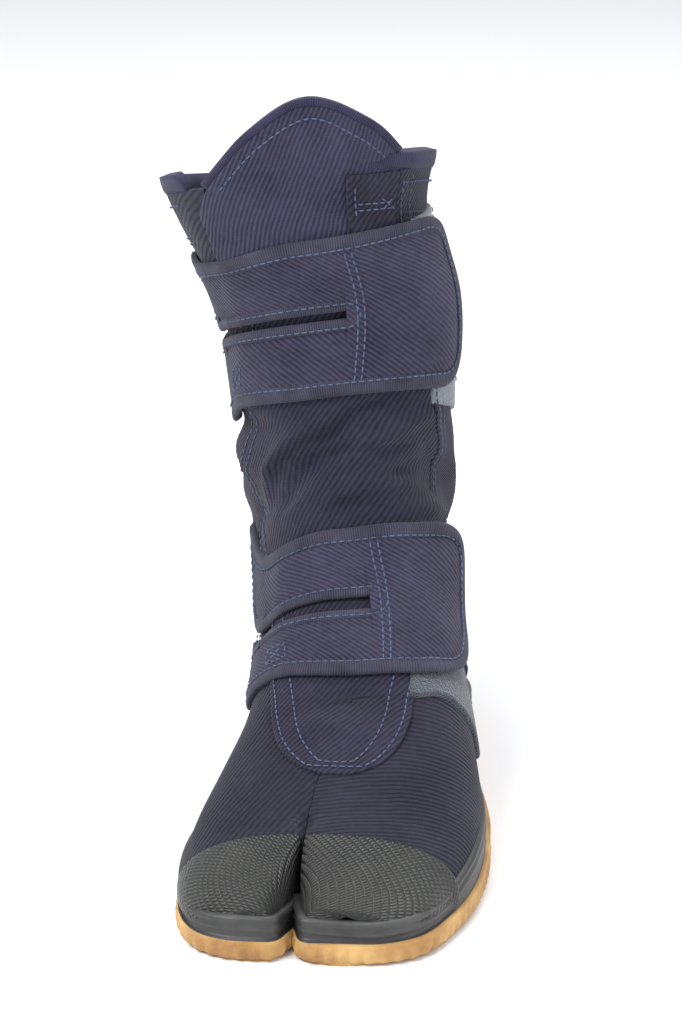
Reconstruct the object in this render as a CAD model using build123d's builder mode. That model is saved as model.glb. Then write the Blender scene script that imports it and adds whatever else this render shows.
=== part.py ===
"""Left split-toe work boot: cloth upper, rubber toe caps and sole, two hook-and-loop straps.

Millimetres. The toe points to -Y, the outer side of the foot is +X and up is +Z.
"""

import math
import os

from build123d import *

# ---- driving dimensions ------------------------------------------------------------------
SOLE_LENGTH = 267          # toe tip to heel, a 26 cm foot
TOE_Y = -133
HEEL_Y = TOE_Y + SOLE_LENGTH
SOLE_T = 7.5               # outsole with its tread
TREAD_DEPTH = 1.4
TREAD_PITCH = 9.0
FOXING_TOP = 18.5          # rubber band round the lower edge of the upper

TWILL_T = 1.2              # outer cloth
LINING_T = 1.0
RUBBER_T = 1.6             # toe caps and heel cap
FACING_T = 1.2             # doubled cloth edge of the quarters
FIT_GAP = 0.4              # between pieces of different bodies

TOE_CAP_Y = -104           # rear edge of the rubber toe caps
CLEFT_ROOT_Y = -80         # the big toe is parted from the others to here
CLEFT_HALF = 2.2           # half width of the parting between the two cloth toes
HINGE_Z = 217              # the free tongue bends here, just above the upper strap
FLAP_TOP_Z = 232.5
FLAP_X = 2.5               # front edge of the outer quarter's top corner
OPENING_X = 19             # outer end of the collar's front opening

STRAP_GAP = 2.9            # cloth to the inner face of a strap
STRAP_T = 2.0
BINDING_EXTRA = 0.45       # the tape round a strap stands proud on each face
BINDING_W = 5.6
HOOK_T = 0.8
STRAP_CORNER_R = 9
STRAP_OUTER_X = 37         # the tabs stay this wide where the shaft narrows under them

# ---- shape of the leg and foot: sections from the toe, round the ankle, up to the top ------
# each row: front or top point (y, z), back or bottom point (y, z), inner side x, outer side x,
# depth of the widest place as a share, roundness of the front end, roundness of the back end
SECTIONS = [
    ((-130, 17), (-130, 5), -35, 21, 0.50, 2.2, 2.4),
    ((-124, 24), (-124, 3), -43, 31, 0.58, 2.2, 2.8),
    ((-113, 29), (-113, 2), -48, 38, 0.62, 2.3, 3.2),
    ((-95, 34), (-95, 2), -49.5, 45.5, 0.64, 2.3, 3.6),
    ((-75, 41), (-75, 2), -48, 49.5, 0.66, 2.3, 3.8),
    ((-52, 51), (-52, 2), -42.5, 50.5, 0.70, 2.4, 3.8),
    ((-30, 63), (-30, 2), -36.5, 48.5, 0.74, 2.5, 3.8),
    ((-10, 76), (8, 0), -33.5, 45, 0.76, 2.6, 3.4),
    ((6, 91), (52, -2), -33.5, 40, 0.72, 2.6, 3.0),
    ((21, 121), (133, 36), -38, 34.5, 0.56, 2.4, 2.3),
    ((24, 138), (129, 85), -43, 36, 0.50, 2.4, 2.2),
    ((26, 160), (124, 128), -45, 36, 0.48, 2.5, 2.2),
    ((26, 185), (125, 166), -52, 34.5, 0.48, 2.5, 2.2),
    ((24, 212), (128, 203), -67, 26, 0.48, 2.4, 2.2),
    ((19, 238), (130, 236), -76, 30, 0.48, 2.3, 2.2),
    ((13, 264), (131, 266), -80, 31, 0.48, 2.3, 2.2),
]
SECTION_POINTS = 14

SOLE_OUTER = [(8, -133.5), (27, -124), (43, -97), (52.5, -70), (55, -42), (51, -8), (44, 38),
              (39, 82), (33, 114), (19, 131)]
SOLE_INNER = [(-19, 130), (-31, 113), (-33, 84), (-31, 42), (-35, -14), (-44.5, -48), (-51, -82),
              (-51.5, -107), (-42, -125), (-26, -132)]
CLEFT_TIP = (-12.5, -134)
CLEFT_ROOT = (-6, CLEFT_ROOT_Y)


# ---- helpers -----------------------------------------------------------------------------
def signed_power(value, power):
    """|value|^power with the sign kept."""
    return math.copysign(abs(value) ** power, value)


def section_face(row, grow):
    """One closed section of the leg and foot, grown outward by grow."""
    near, far, inner_x, outer_x, widest, near_round, far_round = row
    run = Vector(0, far[0] - near[0], far[1] - near[1])
    depth = run.length
    along = run.normalized()
    middle = (inner_x + outer_x) / 2
    half = (outer_x - inner_x) / 2 + grow
    start = Vector(middle, near[0], near[1]) - along * grow
    split = widest * depth + grow
    total = depth + 2 * grow
    with BuildSketch(Plane(origin=start, x_dir=(1, 0, 0), z_dir=Vector(1, 0, 0).cross(along))) as face:
        with BuildLine():
            points = []
            for i in range(SECTION_POINTS):
                angle = math.tau * i / SECTION_POINTS
                power = near_round if math.cos(angle) > 0 else far_round
                x = half * signed_power(math.sin(angle), 2 / power)
                reach = signed_power(math.cos(angle), 2 / power)
                y = split - split * reach if reach > 0 else split - (total - split) * reach
                points.append((x, y))
            Spline(*points, periodic=True)
        make_face()
    return face.sketch


def cleft_prism(half_width):
    """The parting between the big toe and the others: a slot that opens to a V at the tips."""
    tip = Vector(*CLEFT_TIP)
    root = Vector(*CLEFT_ROOT)
    along = (tip - root).normalized()
    side = Vector(-along.Y, along.X)
    mouth = tip + along * 8
    throat = root + along * 34
    with BuildPart() as prism:
        with BuildSketch(Plane.XY.offset(-20)):
            with BuildLine():
                Polyline(
                    tuple(root - side * half_width)[:2],
                    tuple(throat - side * half_width)[:2],
                    tuple(mouth - side * (half_width + 7))[:2],
                    tuple(mouth + side * (half_width + 7))[:2],
                    tuple(throat + side * half_width)[:2],
                    tuple(root + side * half_width)[:2],
                    close=True,
                )
            make_face()
            with Locations((root.X, root.Y)):
                Circle(half_width)
        extrude(amount=90)
    return prism.part


def leg_and_foot(grow, least_outer_x=0):
    """The whole closed form, grown by grow, cut level with the top of the outsole."""
    rows = [row[:3] + (max(row[3], least_outer_x),) + row[4:] for row in SECTIONS]
    toe = SECTIONS[0]
    rows[0] = ((toe[0][0] - grow, toe[0][1]), (toe[1][0] - grow, toe[1][1])) + toe[2:]
    with BuildPart() as form:
        for row in rows:
            add(section_face(row, grow))
        loft()
        if grow < CLEFT_HALF:
            add(cleft_prism(CLEFT_HALF - grow), mode=Mode.SUBTRACT)
        with Locations((0, 0, SOLE_T)):
            Box(400, 400, 60, align=(Align.CENTER, Align.CENTER, Align.MAX), mode=Mode.SUBTRACT)
    return form.part


def prism(plane, outline, length):
    """Straight prism from a closed outline drawn on plane, along its normal."""
    with BuildPart() as solid:
        with BuildSketch(plane):
            with BuildLine():
                Polyline(*outline, close=True)
            make_face()
        extrude(amount=length)
    return solid.part


def plan_prism(outline, bottom, top):
    """Outline given as (x, y), from one height to another."""
    return prism(Plane.XY.offset(bottom), outline, top - bottom)


def front_prism(outline, front, back):
    """Outline given as (x, z), from one y to another."""
    return prism(Plane(origin=(0, back, 0), x_dir=(1, 0, 0), z_dir=(0, -1, 0)), outline, back - front)


def side_prism(outline, inner, outer):
    """Outline given as (y, z), from one x to another."""
    return prism(Plane(origin=(inner, 0, 0), x_dir=(0, 1, 0), z_dir=(1, 0, 0)), outline, outer - inner)


def layer(outer, inner, keep, away=()):
    """What lies in every form of keep, inside outer, outside inner and outside all of away."""
    with BuildPart() as piece:
        add(keep[0])
        for form in keep[1:]:
            add(form, mode=Mode.INTERSECT)
        add(outer, mode=Mode.INTERSECT)
        if inner is not None:
            add(inner, mode=Mode.SUBTRACT)
        for form in away:
            add(form, mode=Mode.SUBTRACT)
    return biggest(piece.part)


def biggest(shape):
    """The largest solid of a cut: thin flakes left by it are dropped."""
    return shape.solids().sort_by(SortBy.VOLUME)[-1]


# ---- regions the upper is divided by -----------------------------------------------------
def rim_cut(drop=0.0):
    """Everything above the sloping rim: high at the front and outside, low behind and inside."""
    plane = Plane(origin=(33, 60, 228 - drop), x_dir=(1, 0, 0.116), z_dir=(-0.116, 0.23, 1))
    with BuildPart() as block:
        with BuildSketch(plane):
            Rectangle(500, 500)
        extrude(amount=120)
    return block.part


def front_region():
    """Where the front panel lies: a U-shaped apron on the foot and a strip up the shaft."""
    with BuildPart() as region:
        with BuildSketch(Plane.XY.offset(36)):
            with BuildLine():
                left = Line((-30, 16), (-29, -46))
                base = Spline(
                    left @ 1, (-21, -66), (-4, -74.5), (14, -68), (25, -48),
                    tangents=[(0, -1), (0, 1)],
                )
                Line(base @ 1, (30, 16))
                Line((30, 16), (-30, 16))
            make_face()
        extrude(amount=90)
        add(front_prism([(-30, 84), (30, 84), (31, 150), (OPENING_X, 200), (OPENING_X, FLAP_TOP_Z),
                         (FLAP_X, FLAP_TOP_Z), (FLAP_X, HINGE_Z), (-52, HINGE_Z), (-43, 178),
                         (-35, 135)], 0, 58))
    return region.part


def front_opening():
    """Gap at the front of the collar that the tongue stands in."""
    return front_prism([(-52, HINGE_Z), (FLAP_X, HINGE_Z), (FLAP_X, FLAP_TOP_Z),
                        (OPENING_X, FLAP_TOP_Z), (OPENING_X, 300), (-90, 300), (-62, 240)], -20, 58)


def vamp_region():
    """The foot in front of the seam that runs down each side from the instep."""
    return side_prism([(-160, 0), (22, 0), (-8, 60), (-8, 90), (-160, 90)], -120, 120)


def heel_region(top):
    """The back of the heel up to top."""
    return side_prism([(88, 0), (160, 0), (160, top), (100, top), (88, top * 0.6)], -120, 120)


# ---- sole --------------------------------------------------------------------------------
def sole_outline():
    """Outline of the sole as a face, before the cleft is cut."""
    with BuildSketch() as face:
        with BuildLine():
            Spline(*SOLE_OUTER, (0, HEEL_Y), *SOLE_INNER, (-9, -131), periodic=True)
        make_face()
    return face.sketch


def make_outsole(outline):
    """Tread sole: cross grooves run out at its edge, so that the edge looks serrated."""
    with BuildPart() as outsole:
        add(outline)
        extrude(amount=SOLE_T)
        add(cleft_prism(1.0), mode=Mode.SUBTRACT)
        with Locations((0, (TOE_Y + HEEL_Y) / 2, 0)):
            with GridLocations(1, TREAD_PITCH, 1, int(SOLE_LENGTH / TREAD_PITCH)):
                Box(130, TREAD_PITCH * 0.35, 2 * TREAD_DEPTH, mode=Mode.SUBTRACT)
    return biggest(outsole.part)


def make_foxing(outline, cloth, rubber):
    """Rubber band that closes the upper to the sole all round."""
    with BuildPart() as foxing:
        with BuildSketch(Plane.XY.offset(SOLE_T)):
            add(outline)
        extrude(amount=FOXING_TOP - SOLE_T)
        add(cleft_prism(0.8), mode=Mode.SUBTRACT)
        for form in [cloth] + rubber:
            add(form, mode=Mode.SUBTRACT)
    return biggest(foxing.part)


# ---- straps ------------------------------------------------------------------------------
class Strap:
    """One strap in its own frame: u along it to the outside, v across it, w outward."""

    def __init__(self, prefix, centre, outward, slope, height, fold_w, prong_w, seam, end, end_w,
                 slot_end, slot_width):
        self.prefix = prefix
        normal = Vector(*outward).normalized()
        up = normal.cross(Vector(1, 0, 0))
        self.along = Vector(1, 0, 0) * math.cos(slope) + up * math.sin(slope)
        self.plane = Plane(origin=centre, x_dir=self.along, z_dir=normal)
        self.half = height / 2
        self.fold_w = fold_w            # the front of the strap swings about a line this deep
        self.prong_w = prong_w          # the two prongs are sewn down as far as this depth
        self.seam = seam                # u of the stitch line that the tab peels from
        self.end = end                  # u of the free end
        self.end_w = end_w              # depth the free end reaches round the outside
        self.slot_end = slot_end        # u of the blind end of the slot
        self.slot_half = slot_width / 2

    def box(self, u0, u1, v0, v1, w0, w1=60.0):
        """Block between two values of u, v and w."""
        with BuildPart() as block:
            with BuildSketch(self.plane.offset(w0)):
                with Locations(((u0 + u1) / 2, (v0 + v1) / 2)):
                    Rectangle(u1 - u0, v1 - v0)
            extrude(amount=w1 - w0)
        return block.part

    def outline(self, inset):
        """The strap seen from the front, with its free end rounded."""
        length = self.end - inset + 90
        with BuildPart() as block:
            with BuildSketch(self.plane.offset(self.end_w)) as face:
                with Locations((self.end - inset - length / 2, 0)):
                    Rectangle(length, 2 * (self.half - inset))
                fillet(face.vertices().group_by(Axis.X)[-1], STRAP_CORNER_R - inset)
            extrude(amount=60 - self.end_w)
        return block.part

    def slot(self, margin):
        """The slot, open to the inside, grown by margin."""
        reach = self.slot_half + margin
        with BuildPart() as block:
            with BuildSketch(self.plane.offset(-120)):
                with Locations((self.slot_end - 60, 0)):
                    Rectangle(120 + 2 * margin, 2 * reach)
                with Locations((self.slot_end + margin - reach, 0)):
                    Circle(reach)
                with Locations((self.slot_end + margin, 0)):
                    Rectangle(2 * reach, 4 * reach, mode=Mode.SUBTRACT)
                with Locations((self.slot_end + margin - reach, 0)):
                    Circle(reach)
            extrude(amount=180)
        return block.part

    def make_nodes(self, forms):
        """The pieces of one strap, each a solid between two grown forms of the leg."""
        gap = FIT_GAP / 2
        front = self.box(-90, self.seam - gap, -60, 60, -self.fold_w + gap)
        tab = self.box(self.seam + gap, 90, -60, 60, -60)
        prong = self.box(-120, 0, -60, 60, -self.prong_w, -self.fold_w - gap)
        cloth = (forms["strap_out"], forms["strap_in"])
        tape = (forms["tape_out"], forms["tape_in"])
        whole = self.outline(0)
        core = self.outline(BINDING_W)
        slot = self.slot(0)
        slot_tape = self.slot(BINDING_W * 0.8)
        upper_half = self.box(-120, 90, 0, 60, -120)
        nodes = {
            "front": layer(*cloth, [core, front], [slot_tape]),
            "front_tape_top": layer(*tape, [whole, front, upper_half], [core, slot_tape]),
            "front_tape_bottom": layer(*tape, [whole, front], [core, slot_tape, upper_half]),
            "slot_tape": layer(*tape, [slot_tape, front, core], [slot]),
            "tab": layer(*cloth, [core, tab]),
            "tab_tape": layer(*tape, [whole, tab], [core]),
            "hook_patch": layer(forms["strap_in"], forms["hook_in"],
                                [self.outline(BINDING_W + 1.5), self.box(self.seam + 4, 90, -60, 60, -60)]),
            "prong_top": layer(*cloth, [self.box(-120, 0, self.slot_half, self.half, -120), prong]),
            "prong_bottom": layer(*cloth, [self.box(-120, 0, -self.half, -self.slot_half, -120), prong]),
        }
        return {self.prefix + "_" + name: shape for name, shape in nodes.items()}


UPPER = Strap("upper", centre=(0, 21, 178), outward=(0, -1, 0), slope=math.radians(7), height=62,
              fold_w=24, prong_w=56, seam=5.5, end=40, end_w=-40, slot_end=-1, slot_width=4)
LOWER = Strap("lower", centre=(0, -19, 80), outward=(0, -0.609, 0.797), slope=math.radians(7),
              height=62, fold_w=17, prong_w=44, seam=15, end=44, end_w=-34, slot_end=9, slot_width=6)


# ---- the boot ----------------------------------------------------------------------------
def make_boot():
    """Every node of the boot, by name."""
    upper_layers = {
        "lining_in": -TWILL_T - LINING_T,
        "twill_in": -TWILL_T,
        "cloth": 0.0,
        "facing": FACING_T,
        "rubber": RUBBER_T,
    }
    strap_layers = {
        "hook_in": STRAP_GAP - HOOK_T,
        "strap_in": STRAP_GAP,
        "strap_out": STRAP_GAP + STRAP_T,
        "tape_in": STRAP_GAP - BINDING_EXTRA,
        "tape_out": STRAP_GAP + STRAP_T + BINDING_EXTRA,
    }
    forms = {name: leg_and_foot(grow) for name, grow in upper_layers.items()}
    for name, grow in strap_layers.items():
        forms[name] = leg_and_foot(grow, STRAP_OUTER_X)
    twill = (forms["cloth"], forms["twill_in"])
    lining = (forms["twill_in"], forms["lining_in"])
    outline = sole_outline()
    everywhere = plan_prism([(-200, -200), (200, -200), (200, 200), (-200, 200)], 0, 300)
    inner_side = plan_prism([(-120, -200), (-7, -200), (-7, 0), (0, 0), (0, 200), (-120, 200)], 0, 300)
    outer_side = plan_prism([(120, -200), (-7, -200), (-7, 0), (0, 0), (0, 200), (120, 200)], 0, 300)
    rim = rim_cut()
    hem = rim_cut(5)
    panel = front_region()
    opening = front_opening()
    foot = vamp_region()
    back_seam = front_prism([(-9, 0), (9, 0), (4, 300), (-14, 300)], 95, 160)
    toes = plan_prism([(-120, -200), (120, -200), (120, TOE_CAP_Y), (-120, TOE_CAP_Y)], 0, 100)
    heel = heel_region(46)

    nodes = {}
    nodes["outsole"] = make_outsole(outline)
    nodes["toe_cap_big"] = layer(forms["rubber"], forms["cloth"], [toes, inner_toes()])
    nodes["toe_cap_small"] = layer(forms["rubber"], forms["cloth"], [toes, outer_toes()])
    nodes["heel_cap"] = layer(forms["rubber"], forms["cloth"], [heel])
    caps = [nodes["toe_cap_big"], nodes["toe_cap_small"], nodes["heel_cap"]]
    nodes["foxing"] = make_foxing(outline, forms["cloth"], caps)
    nodes["insole_board"] = layer(forms["lining_in"], None, [slab(SOLE_T, SOLE_T + 2)])
    nodes["sock_liner"] = layer(forms["lining_in"], None, [slab(SOLE_T + 2, SOLE_T + 5)])

    nodes["front_panel"] = layer(*twill, [panel])
    nodes["vamp_medial"] = layer(*twill, [foot, inner_side], [panel])
    nodes["vamp_lateral"] = layer(*twill, [foot, outer_side], [panel])
    nodes["quarter_medial"] = layer(*twill, [inner_side], [foot, panel, opening, hem])
    nodes["quarter_lateral"] = layer(*twill, [outer_side], [foot, panel, opening, hem])
    nodes["vamp_lining"] = layer(*lining, [foot])
    nodes["heel_stiffener"] = layer(*lining, [heel_region(58)])
    nodes["shaft_lining"] = layer(*lining, [everywhere], [foot, heel_region(58), opening, hem])
    nodes["collar_hem"] = layer(forms["cloth"], forms["lining_in"], [hem], [rim, opening, panel])
    nodes["back_stay"] = layer(forms["facing"], forms["cloth"], [back_seam], [rim, heel])
    nodes["facing_medial"] = layer(forms["facing"], forms["cloth"], [inner_facing()], [rim])
    nodes["facing_lateral"] = layer(forms["facing"], forms["cloth"], [outer_facing()], [rim])
    nodes["upper_loop_patch"] = layer(forms["facing"], forms["cloth"],
                                      [UPPER.box(20, 80, -37, 24, -52)], [outer_facing()])
    nodes["lower_loop_patch"] = layer(forms["facing"], forms["cloth"],
                                      [LOWER.box(22, 80, -37, 24, -46)], [outer_facing()])
    nodes["tongue_top"] = layer(forms["cloth"], forms["lining_in"], [tongue_region()])
    for strap in (UPPER, LOWER):
        nodes.update(strap.make_nodes(forms))
    return nodes


def slab(bottom, top):
    """Everything between two heights."""
    return plan_prism([(-200, -200), (200, -200), (200, 200), (-200, 200)], bottom, top)


def inner_toes():
    """The big toe's side of the cleft."""
    return plan_prism([(-120, -200), (-20, -200), CLEFT_TIP, CLEFT_ROOT, (-6, 0), (-120, 0)], 0, 100)


def outer_toes():
    """The other toes' side of the cleft."""
    return plan_prism([(120, -200), (-20, -200), CLEFT_TIP, CLEFT_ROOT, (-6, 0), (120, 0)], 0, 100)


def inner_facing():
    """Doubled edge down the inner side of the front opening."""
    return front_prism([(-29, 100), (-60, 100), (-60, 178), (-66, 217), (-80, 250), (-60, 250),
                        (-52.5, 217), (-41, 178), (-32, 135)], 0, 52)


def outer_facing():
    """Doubled edge of the outer quarter, widening to the corner that laps over the tongue."""
    return front_prism([(23, 96), (40, 96), (40, 260), (OPENING_X, 260), (OPENING_X, FLAP_TOP_Z),
                        (FLAP_X, FLAP_TOP_Z), (FLAP_X, HINGE_Z - 6), (15, 190), (23, 150)], 0, 50)


def tongue_region():
    """The free top of the tongue, leaning to the inner side."""
    left = -52 + FIT_GAP
    low = HINGE_Z + FIT_GAP
    step = FLAP_TOP_Z + 1.5
    right = FLAP_X - FIT_GAP
    with BuildPart() as region:
        with BuildSketch(Plane(origin=(0, 60, 0), x_dir=(1, 0, 0), z_dir=(0, -1, 0))):
            with BuildLine():
                Line((left, low), (right, low))
                Line((right, low), (right, step))
                Line((right, step), (OPENING_X - 2, step))
                Line((OPENING_X - 2, step), (16, 238.5))
                Spline((16, 238.5), (6, 250), (-14, 258.5), (-35, 246), (left, low + 8))
                Line((left, low + 8), (left, low))
            make_face()
        extrude(amount=90)
    return region.part


def main():
    nodes = make_boot()
    boxes = [shape.bounding_box() for shape in nodes.values()]
    middle_x = (min(box.min.X for box in boxes) + max(box.max.X for box in boxes)) / 2
    middle_y = (min(box.min.Y for box in boxes) + max(box.max.Y for box in boxes)) / 2
    shift = Pos(-middle_x, -middle_y, 0)
    os.makedirs("parts", exist_ok=True)
    for name, shape in nodes.items():
        placed = shift * shape
        placed.label = name
        export_step(placed, "parts/" + name + ".step")
        print(f"{name:22s} {placed.volume:10.0f} mm3")
    print(f"moved by {-middle_x:.3f}, {-middle_y:.3f}")


if __name__ == "__main__":
    main()
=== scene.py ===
import math

import bpy
import numpy as np
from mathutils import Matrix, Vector

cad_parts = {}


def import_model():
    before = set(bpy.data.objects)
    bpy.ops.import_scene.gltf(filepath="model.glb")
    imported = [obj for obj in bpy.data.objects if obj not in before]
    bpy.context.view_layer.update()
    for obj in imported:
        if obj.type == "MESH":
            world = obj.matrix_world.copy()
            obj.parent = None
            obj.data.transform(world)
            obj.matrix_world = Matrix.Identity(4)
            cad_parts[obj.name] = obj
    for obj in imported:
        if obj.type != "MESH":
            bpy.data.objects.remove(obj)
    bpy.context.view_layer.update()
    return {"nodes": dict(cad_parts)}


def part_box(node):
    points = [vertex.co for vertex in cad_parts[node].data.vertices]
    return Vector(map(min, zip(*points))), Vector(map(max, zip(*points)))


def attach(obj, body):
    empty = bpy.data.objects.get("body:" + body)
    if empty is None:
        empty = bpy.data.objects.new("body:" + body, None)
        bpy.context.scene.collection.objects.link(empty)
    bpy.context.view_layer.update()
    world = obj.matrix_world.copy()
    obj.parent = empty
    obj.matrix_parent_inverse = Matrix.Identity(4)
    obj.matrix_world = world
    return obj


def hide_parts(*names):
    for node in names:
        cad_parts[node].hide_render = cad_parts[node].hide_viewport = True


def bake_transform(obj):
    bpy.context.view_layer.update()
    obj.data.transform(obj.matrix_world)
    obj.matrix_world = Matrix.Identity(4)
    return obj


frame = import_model()

# Lengths below are millimetres in the maker's frame: x to the outside of the foot, y to the heel, z up.
SHIFT = np.array((7.395, -1.211, 0.0))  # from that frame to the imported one
MM = 0.001

SEAM_Z = 11.0  # the outer cloth ends at this height, behind the foxing
CLOTH_T = 1.2
CAP_T = 1.8  # toe caps, over the vamp
STRAP_T = 2.0
TAPE_W = 5.6
ROW_INSET = 4.6  # from a strap's edge to its stitch row

# Leg and foot form, one section a row from the toe tip up to the collar: near y, near z, far y, far z,
# inner x, outer x, share of the depth where it is widest, near power, far power
ROWS = np.array(
    [
        (-130, 17, -130, 5, -35, 21, 0.50, 2.2, 2.4),
        (-124, 24, -124, 3, -43, 31, 0.58, 2.2, 2.8),
        (-113, 29, -113, 2, -48, 38, 0.62, 2.3, 3.2),
        (-95, 34, -95, 2, -49.5, 45.5, 0.64, 2.3, 3.6),
        (-75, 41, -75, 2, -48, 49.5, 0.66, 2.3, 3.8),
        (-52, 51, -52, 2, -42.5, 50.5, 0.70, 2.4, 3.8),
        (-30, 63, -30, 2, -36.5, 48.5, 0.74, 2.5, 3.8),
        (-10, 76, 8, 0, -33.5, 45, 0.76, 2.6, 3.4),
        (6, 91, 52, -2, -33.5, 40, 0.72, 2.6, 3.0),
        (21, 121, 133, 36, -38, 34.5, 0.56, 2.4, 2.3),
        (24, 138, 129, 85, -43, 36, 0.50, 2.4, 2.2),
        (26, 160, 124, 128, -45, 36, 0.48, 2.5, 2.2),
        (26, 185, 125, 166, -52, 34.5, 0.48, 2.5, 2.2),
        (24, 212, 128, 203, -67, 26, 0.48, 2.4, 2.2),
        (19, 238, 130, 236, -76, 30, 0.48, 2.3, 2.2),
        (13, 264, 131, 266, -80, 31, 0.48, 2.3, 2.2),
    ],
    float,
)


# ---------------------------------------------------------------- small tools
def smooth(x):
    x = np.clip(x, 0, 1)
    return x * x * (3 - 2 * x)


def between(x, low, high, ease_low=8.0, ease_high=8.0):
    """1 between low and high and 0 outside, eased in after low and out after high."""
    return smooth((x - low) / ease_low) * (1 - smooth((x - high) / ease_high))


def rounded(d, r):
    """Quarter circle: 0 at an edge and 1 from r inward."""
    return np.sqrt(np.clip(1 - (1 - np.clip(d / r, 0, 1)) ** 2, 0, 1))


def unit(vectors):
    return vectors / np.linalg.norm(vectors, axis=-1, keepdims=True)


def distances(line):
    """How far along a line each point lies, for one line or for each row of a grid."""
    steps = np.linalg.norm(np.diff(line, axis=-2), axis=-1)
    return np.concatenate([np.zeros(steps.shape[:-1] + (1,)), np.cumsum(steps, axis=-1)], -1)


def read_at(at, run, values):
    """The columns of values, known at the distances run, read at others."""
    return np.stack([np.interp(at, run, column) for column in np.asarray(values, float).T], -1)


def even(line, n):
    """The line resampled to n evenly spaced points."""
    line = np.asarray(line, float)
    run = distances(line)
    return read_at(np.linspace(0, run[-1], n), run, line)


def catmull(p0, p1, p2, p3, f):
    """The Catmull-Rom curve from p1 to p2 at the share f."""
    square = 2 * p0 - 5 * p1 + 4 * p2 - p3
    cube = 3 * p1 - p0 - 3 * p2 + p3
    return 0.5 * (2 * p1 + (p2 - p0) * f + square * f**2 + cube * f**3)


def curve(points, n):
    """A Catmull-Rom curve through the points, evenly spaced."""
    p = np.asarray(points, float)
    p = np.vstack([2 * p[0] - p[1], p, 2 * p[-1] - p[-2]])
    f = np.linspace(0, 1, 24, endpoint=False)[:, None]
    spans = [catmull(*p[k - 1 : k + 3], f) for k in range(1, len(p) - 2)]
    return even(np.vstack(spans + [p[-2:-1]]), n)


def smear(line, kernel, mode):
    """The columns of a line averaged along it, padded at its ends by numpy's mode."""
    half = len(kernel) // 2
    kernel = kernel / kernel.sum()
    return np.stack([np.convolve(np.pad(c, half, mode=mode), kernel, "valid") for c in line.T], -1)


def bell(half, step, spread):
    """A bell of 2 half + 1 weights, for points step apart."""
    return np.exp(-0.5 * (np.arange(-half, half + 1) * step / spread) ** 2)


def both(a, b):
    """Two arrays spread over each other and stacked as pairs."""
    return np.stack(np.broadcast_arrays(a, b), -1)


# ---------------------------------------------------------------- the form
def rows_at(t):
    """The form's section values at fractional rows t."""
    last = len(ROWS) - 1
    i = np.clip(t.astype(int), 0, last - 1)
    p0, p3 = ROWS[np.maximum(i - 1, 0)], ROWS[np.minimum(i + 2, last)]
    return catmull(p0, ROWS[i], ROWS[i + 1], p3, (t - i)[:, None])


# Plan of the sole's rear half, from its outer waist round the heel to its inner waist
SOLE_HEEL = np.array(
    [
        (52, -12), (51, -8), (44, 38), (39, 82), (33, 114), (19, 131),
        (0, 134), (-19, 130), (-31, 113), (-33, 84), (-31, 42), (-35, -14),
    ],
    float,
)
HEEL_AXIS = np.array((0.0, 62.0))
KEEL_Z, KEEL_Y, KEEL_RISE = -2.0, 52.0, 38 / 81  # underside of the form: flat, then rising to the heel
HEEL_TOP = 54.0  # the upright heel begins under this height
SOLE_MARGIN = 2.6  # the cloth stands this far inside the sole's edge


def heel_plan():
    """Bearings round HEEL_AXIS and the reach of the sole along each."""
    off = SOLE_HEEL - HEEL_AXIS
    turns = np.arctan2(off[:, 0], off[:, 1])
    order = np.argsort(turns)
    bearing = np.linspace(-math.pi, math.pi, 721)
    reach = np.interp(bearing, turns[order], np.hypot(off[:, 0], off[:, 1])[order])
    return bearing, smear(reach[:, None], np.hanning(49), "edge")[:, 0]


HEEL_BEARING, HEEL_REACH = heel_plan()


def heel(points, grow):
    """Brings the underside of the form down and out into an upright heel over the sole."""
    x, y, z = points[..., 0], points[..., 1], points[..., 2]
    keel = np.maximum(KEEL_Z + (y - KEEL_Y) * KEEL_RISE, KEEL_Z)
    z = z - np.maximum(keel - 6, 0) * (1 - smooth((z - keel) / 52))
    off_x, off_y = x - HEEL_AXIS[0], y - HEEL_AXIS[1]
    away = np.hypot(off_x, off_y) + 1e-9
    aim = np.interp(np.arctan2(off_x, off_y), HEEL_BEARING, HEEL_REACH) - SOLE_MARGIN + grow
    pull = smooth((HEEL_TOP - z) / 40) * smooth((y - 8) / 40)
    scale = 1 + pull * (aim / away - 1)
    return np.stack([HEEL_AXIS[0] + off_x * scale, HEEL_AXIS[1] + off_y * scale, z], -1)


def form(t, a, grow=0.0):
    """Points of the form, grown outward, at fractional rows t and angles a.

    Angle 0 is the front line and a positive angle is on the outer side of the foot.
    """
    r = rows_at(np.atleast_1d(np.asarray(t, float)))
    a = np.atleast_1d(np.asarray(a, float))[None, :]
    ny, nz, fy, fz, inner, outer, share, p_near, p_far = (r[:, k : k + 1] for k in range(9))
    length = np.hypot(fy - ny, fz - nz)
    ey, ez = (fy - ny) / length, (fz - nz) / length
    c, s = np.cos(a), np.sin(a)
    power = np.where(c > 0, p_near, p_far)
    x = (inner + outer) / 2 + ((outer - inner) / 2 + grow) * np.sign(s) * np.abs(s) ** (2 / power)
    split, total = share * length + grow, length + 2 * grow
    reach = np.abs(c) ** (2 / power)
    depth = np.where(c > 0, split - split * reach, split + (total - split) * reach) - grow
    return heel(np.stack([x, ny + ey * depth, nz + ez * depth], -1), grow)


# Chart of the form: v is the distance up the front line from the toe, u the distance round from it
U_MAX = 190
FINE = 1600
FINE_T = np.linspace(0, len(ROWS) - 1, FINE + 1)
FRONT = form(FINE_T, 0.0)[:, 0]
FRONT_RUN = distances(FRONT)
V_MAX = int(FRONT_RUN[-1])
T_OF_V = np.interp(np.arange(V_MAX + 1), FRONT_RUN, FINE_T)


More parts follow.
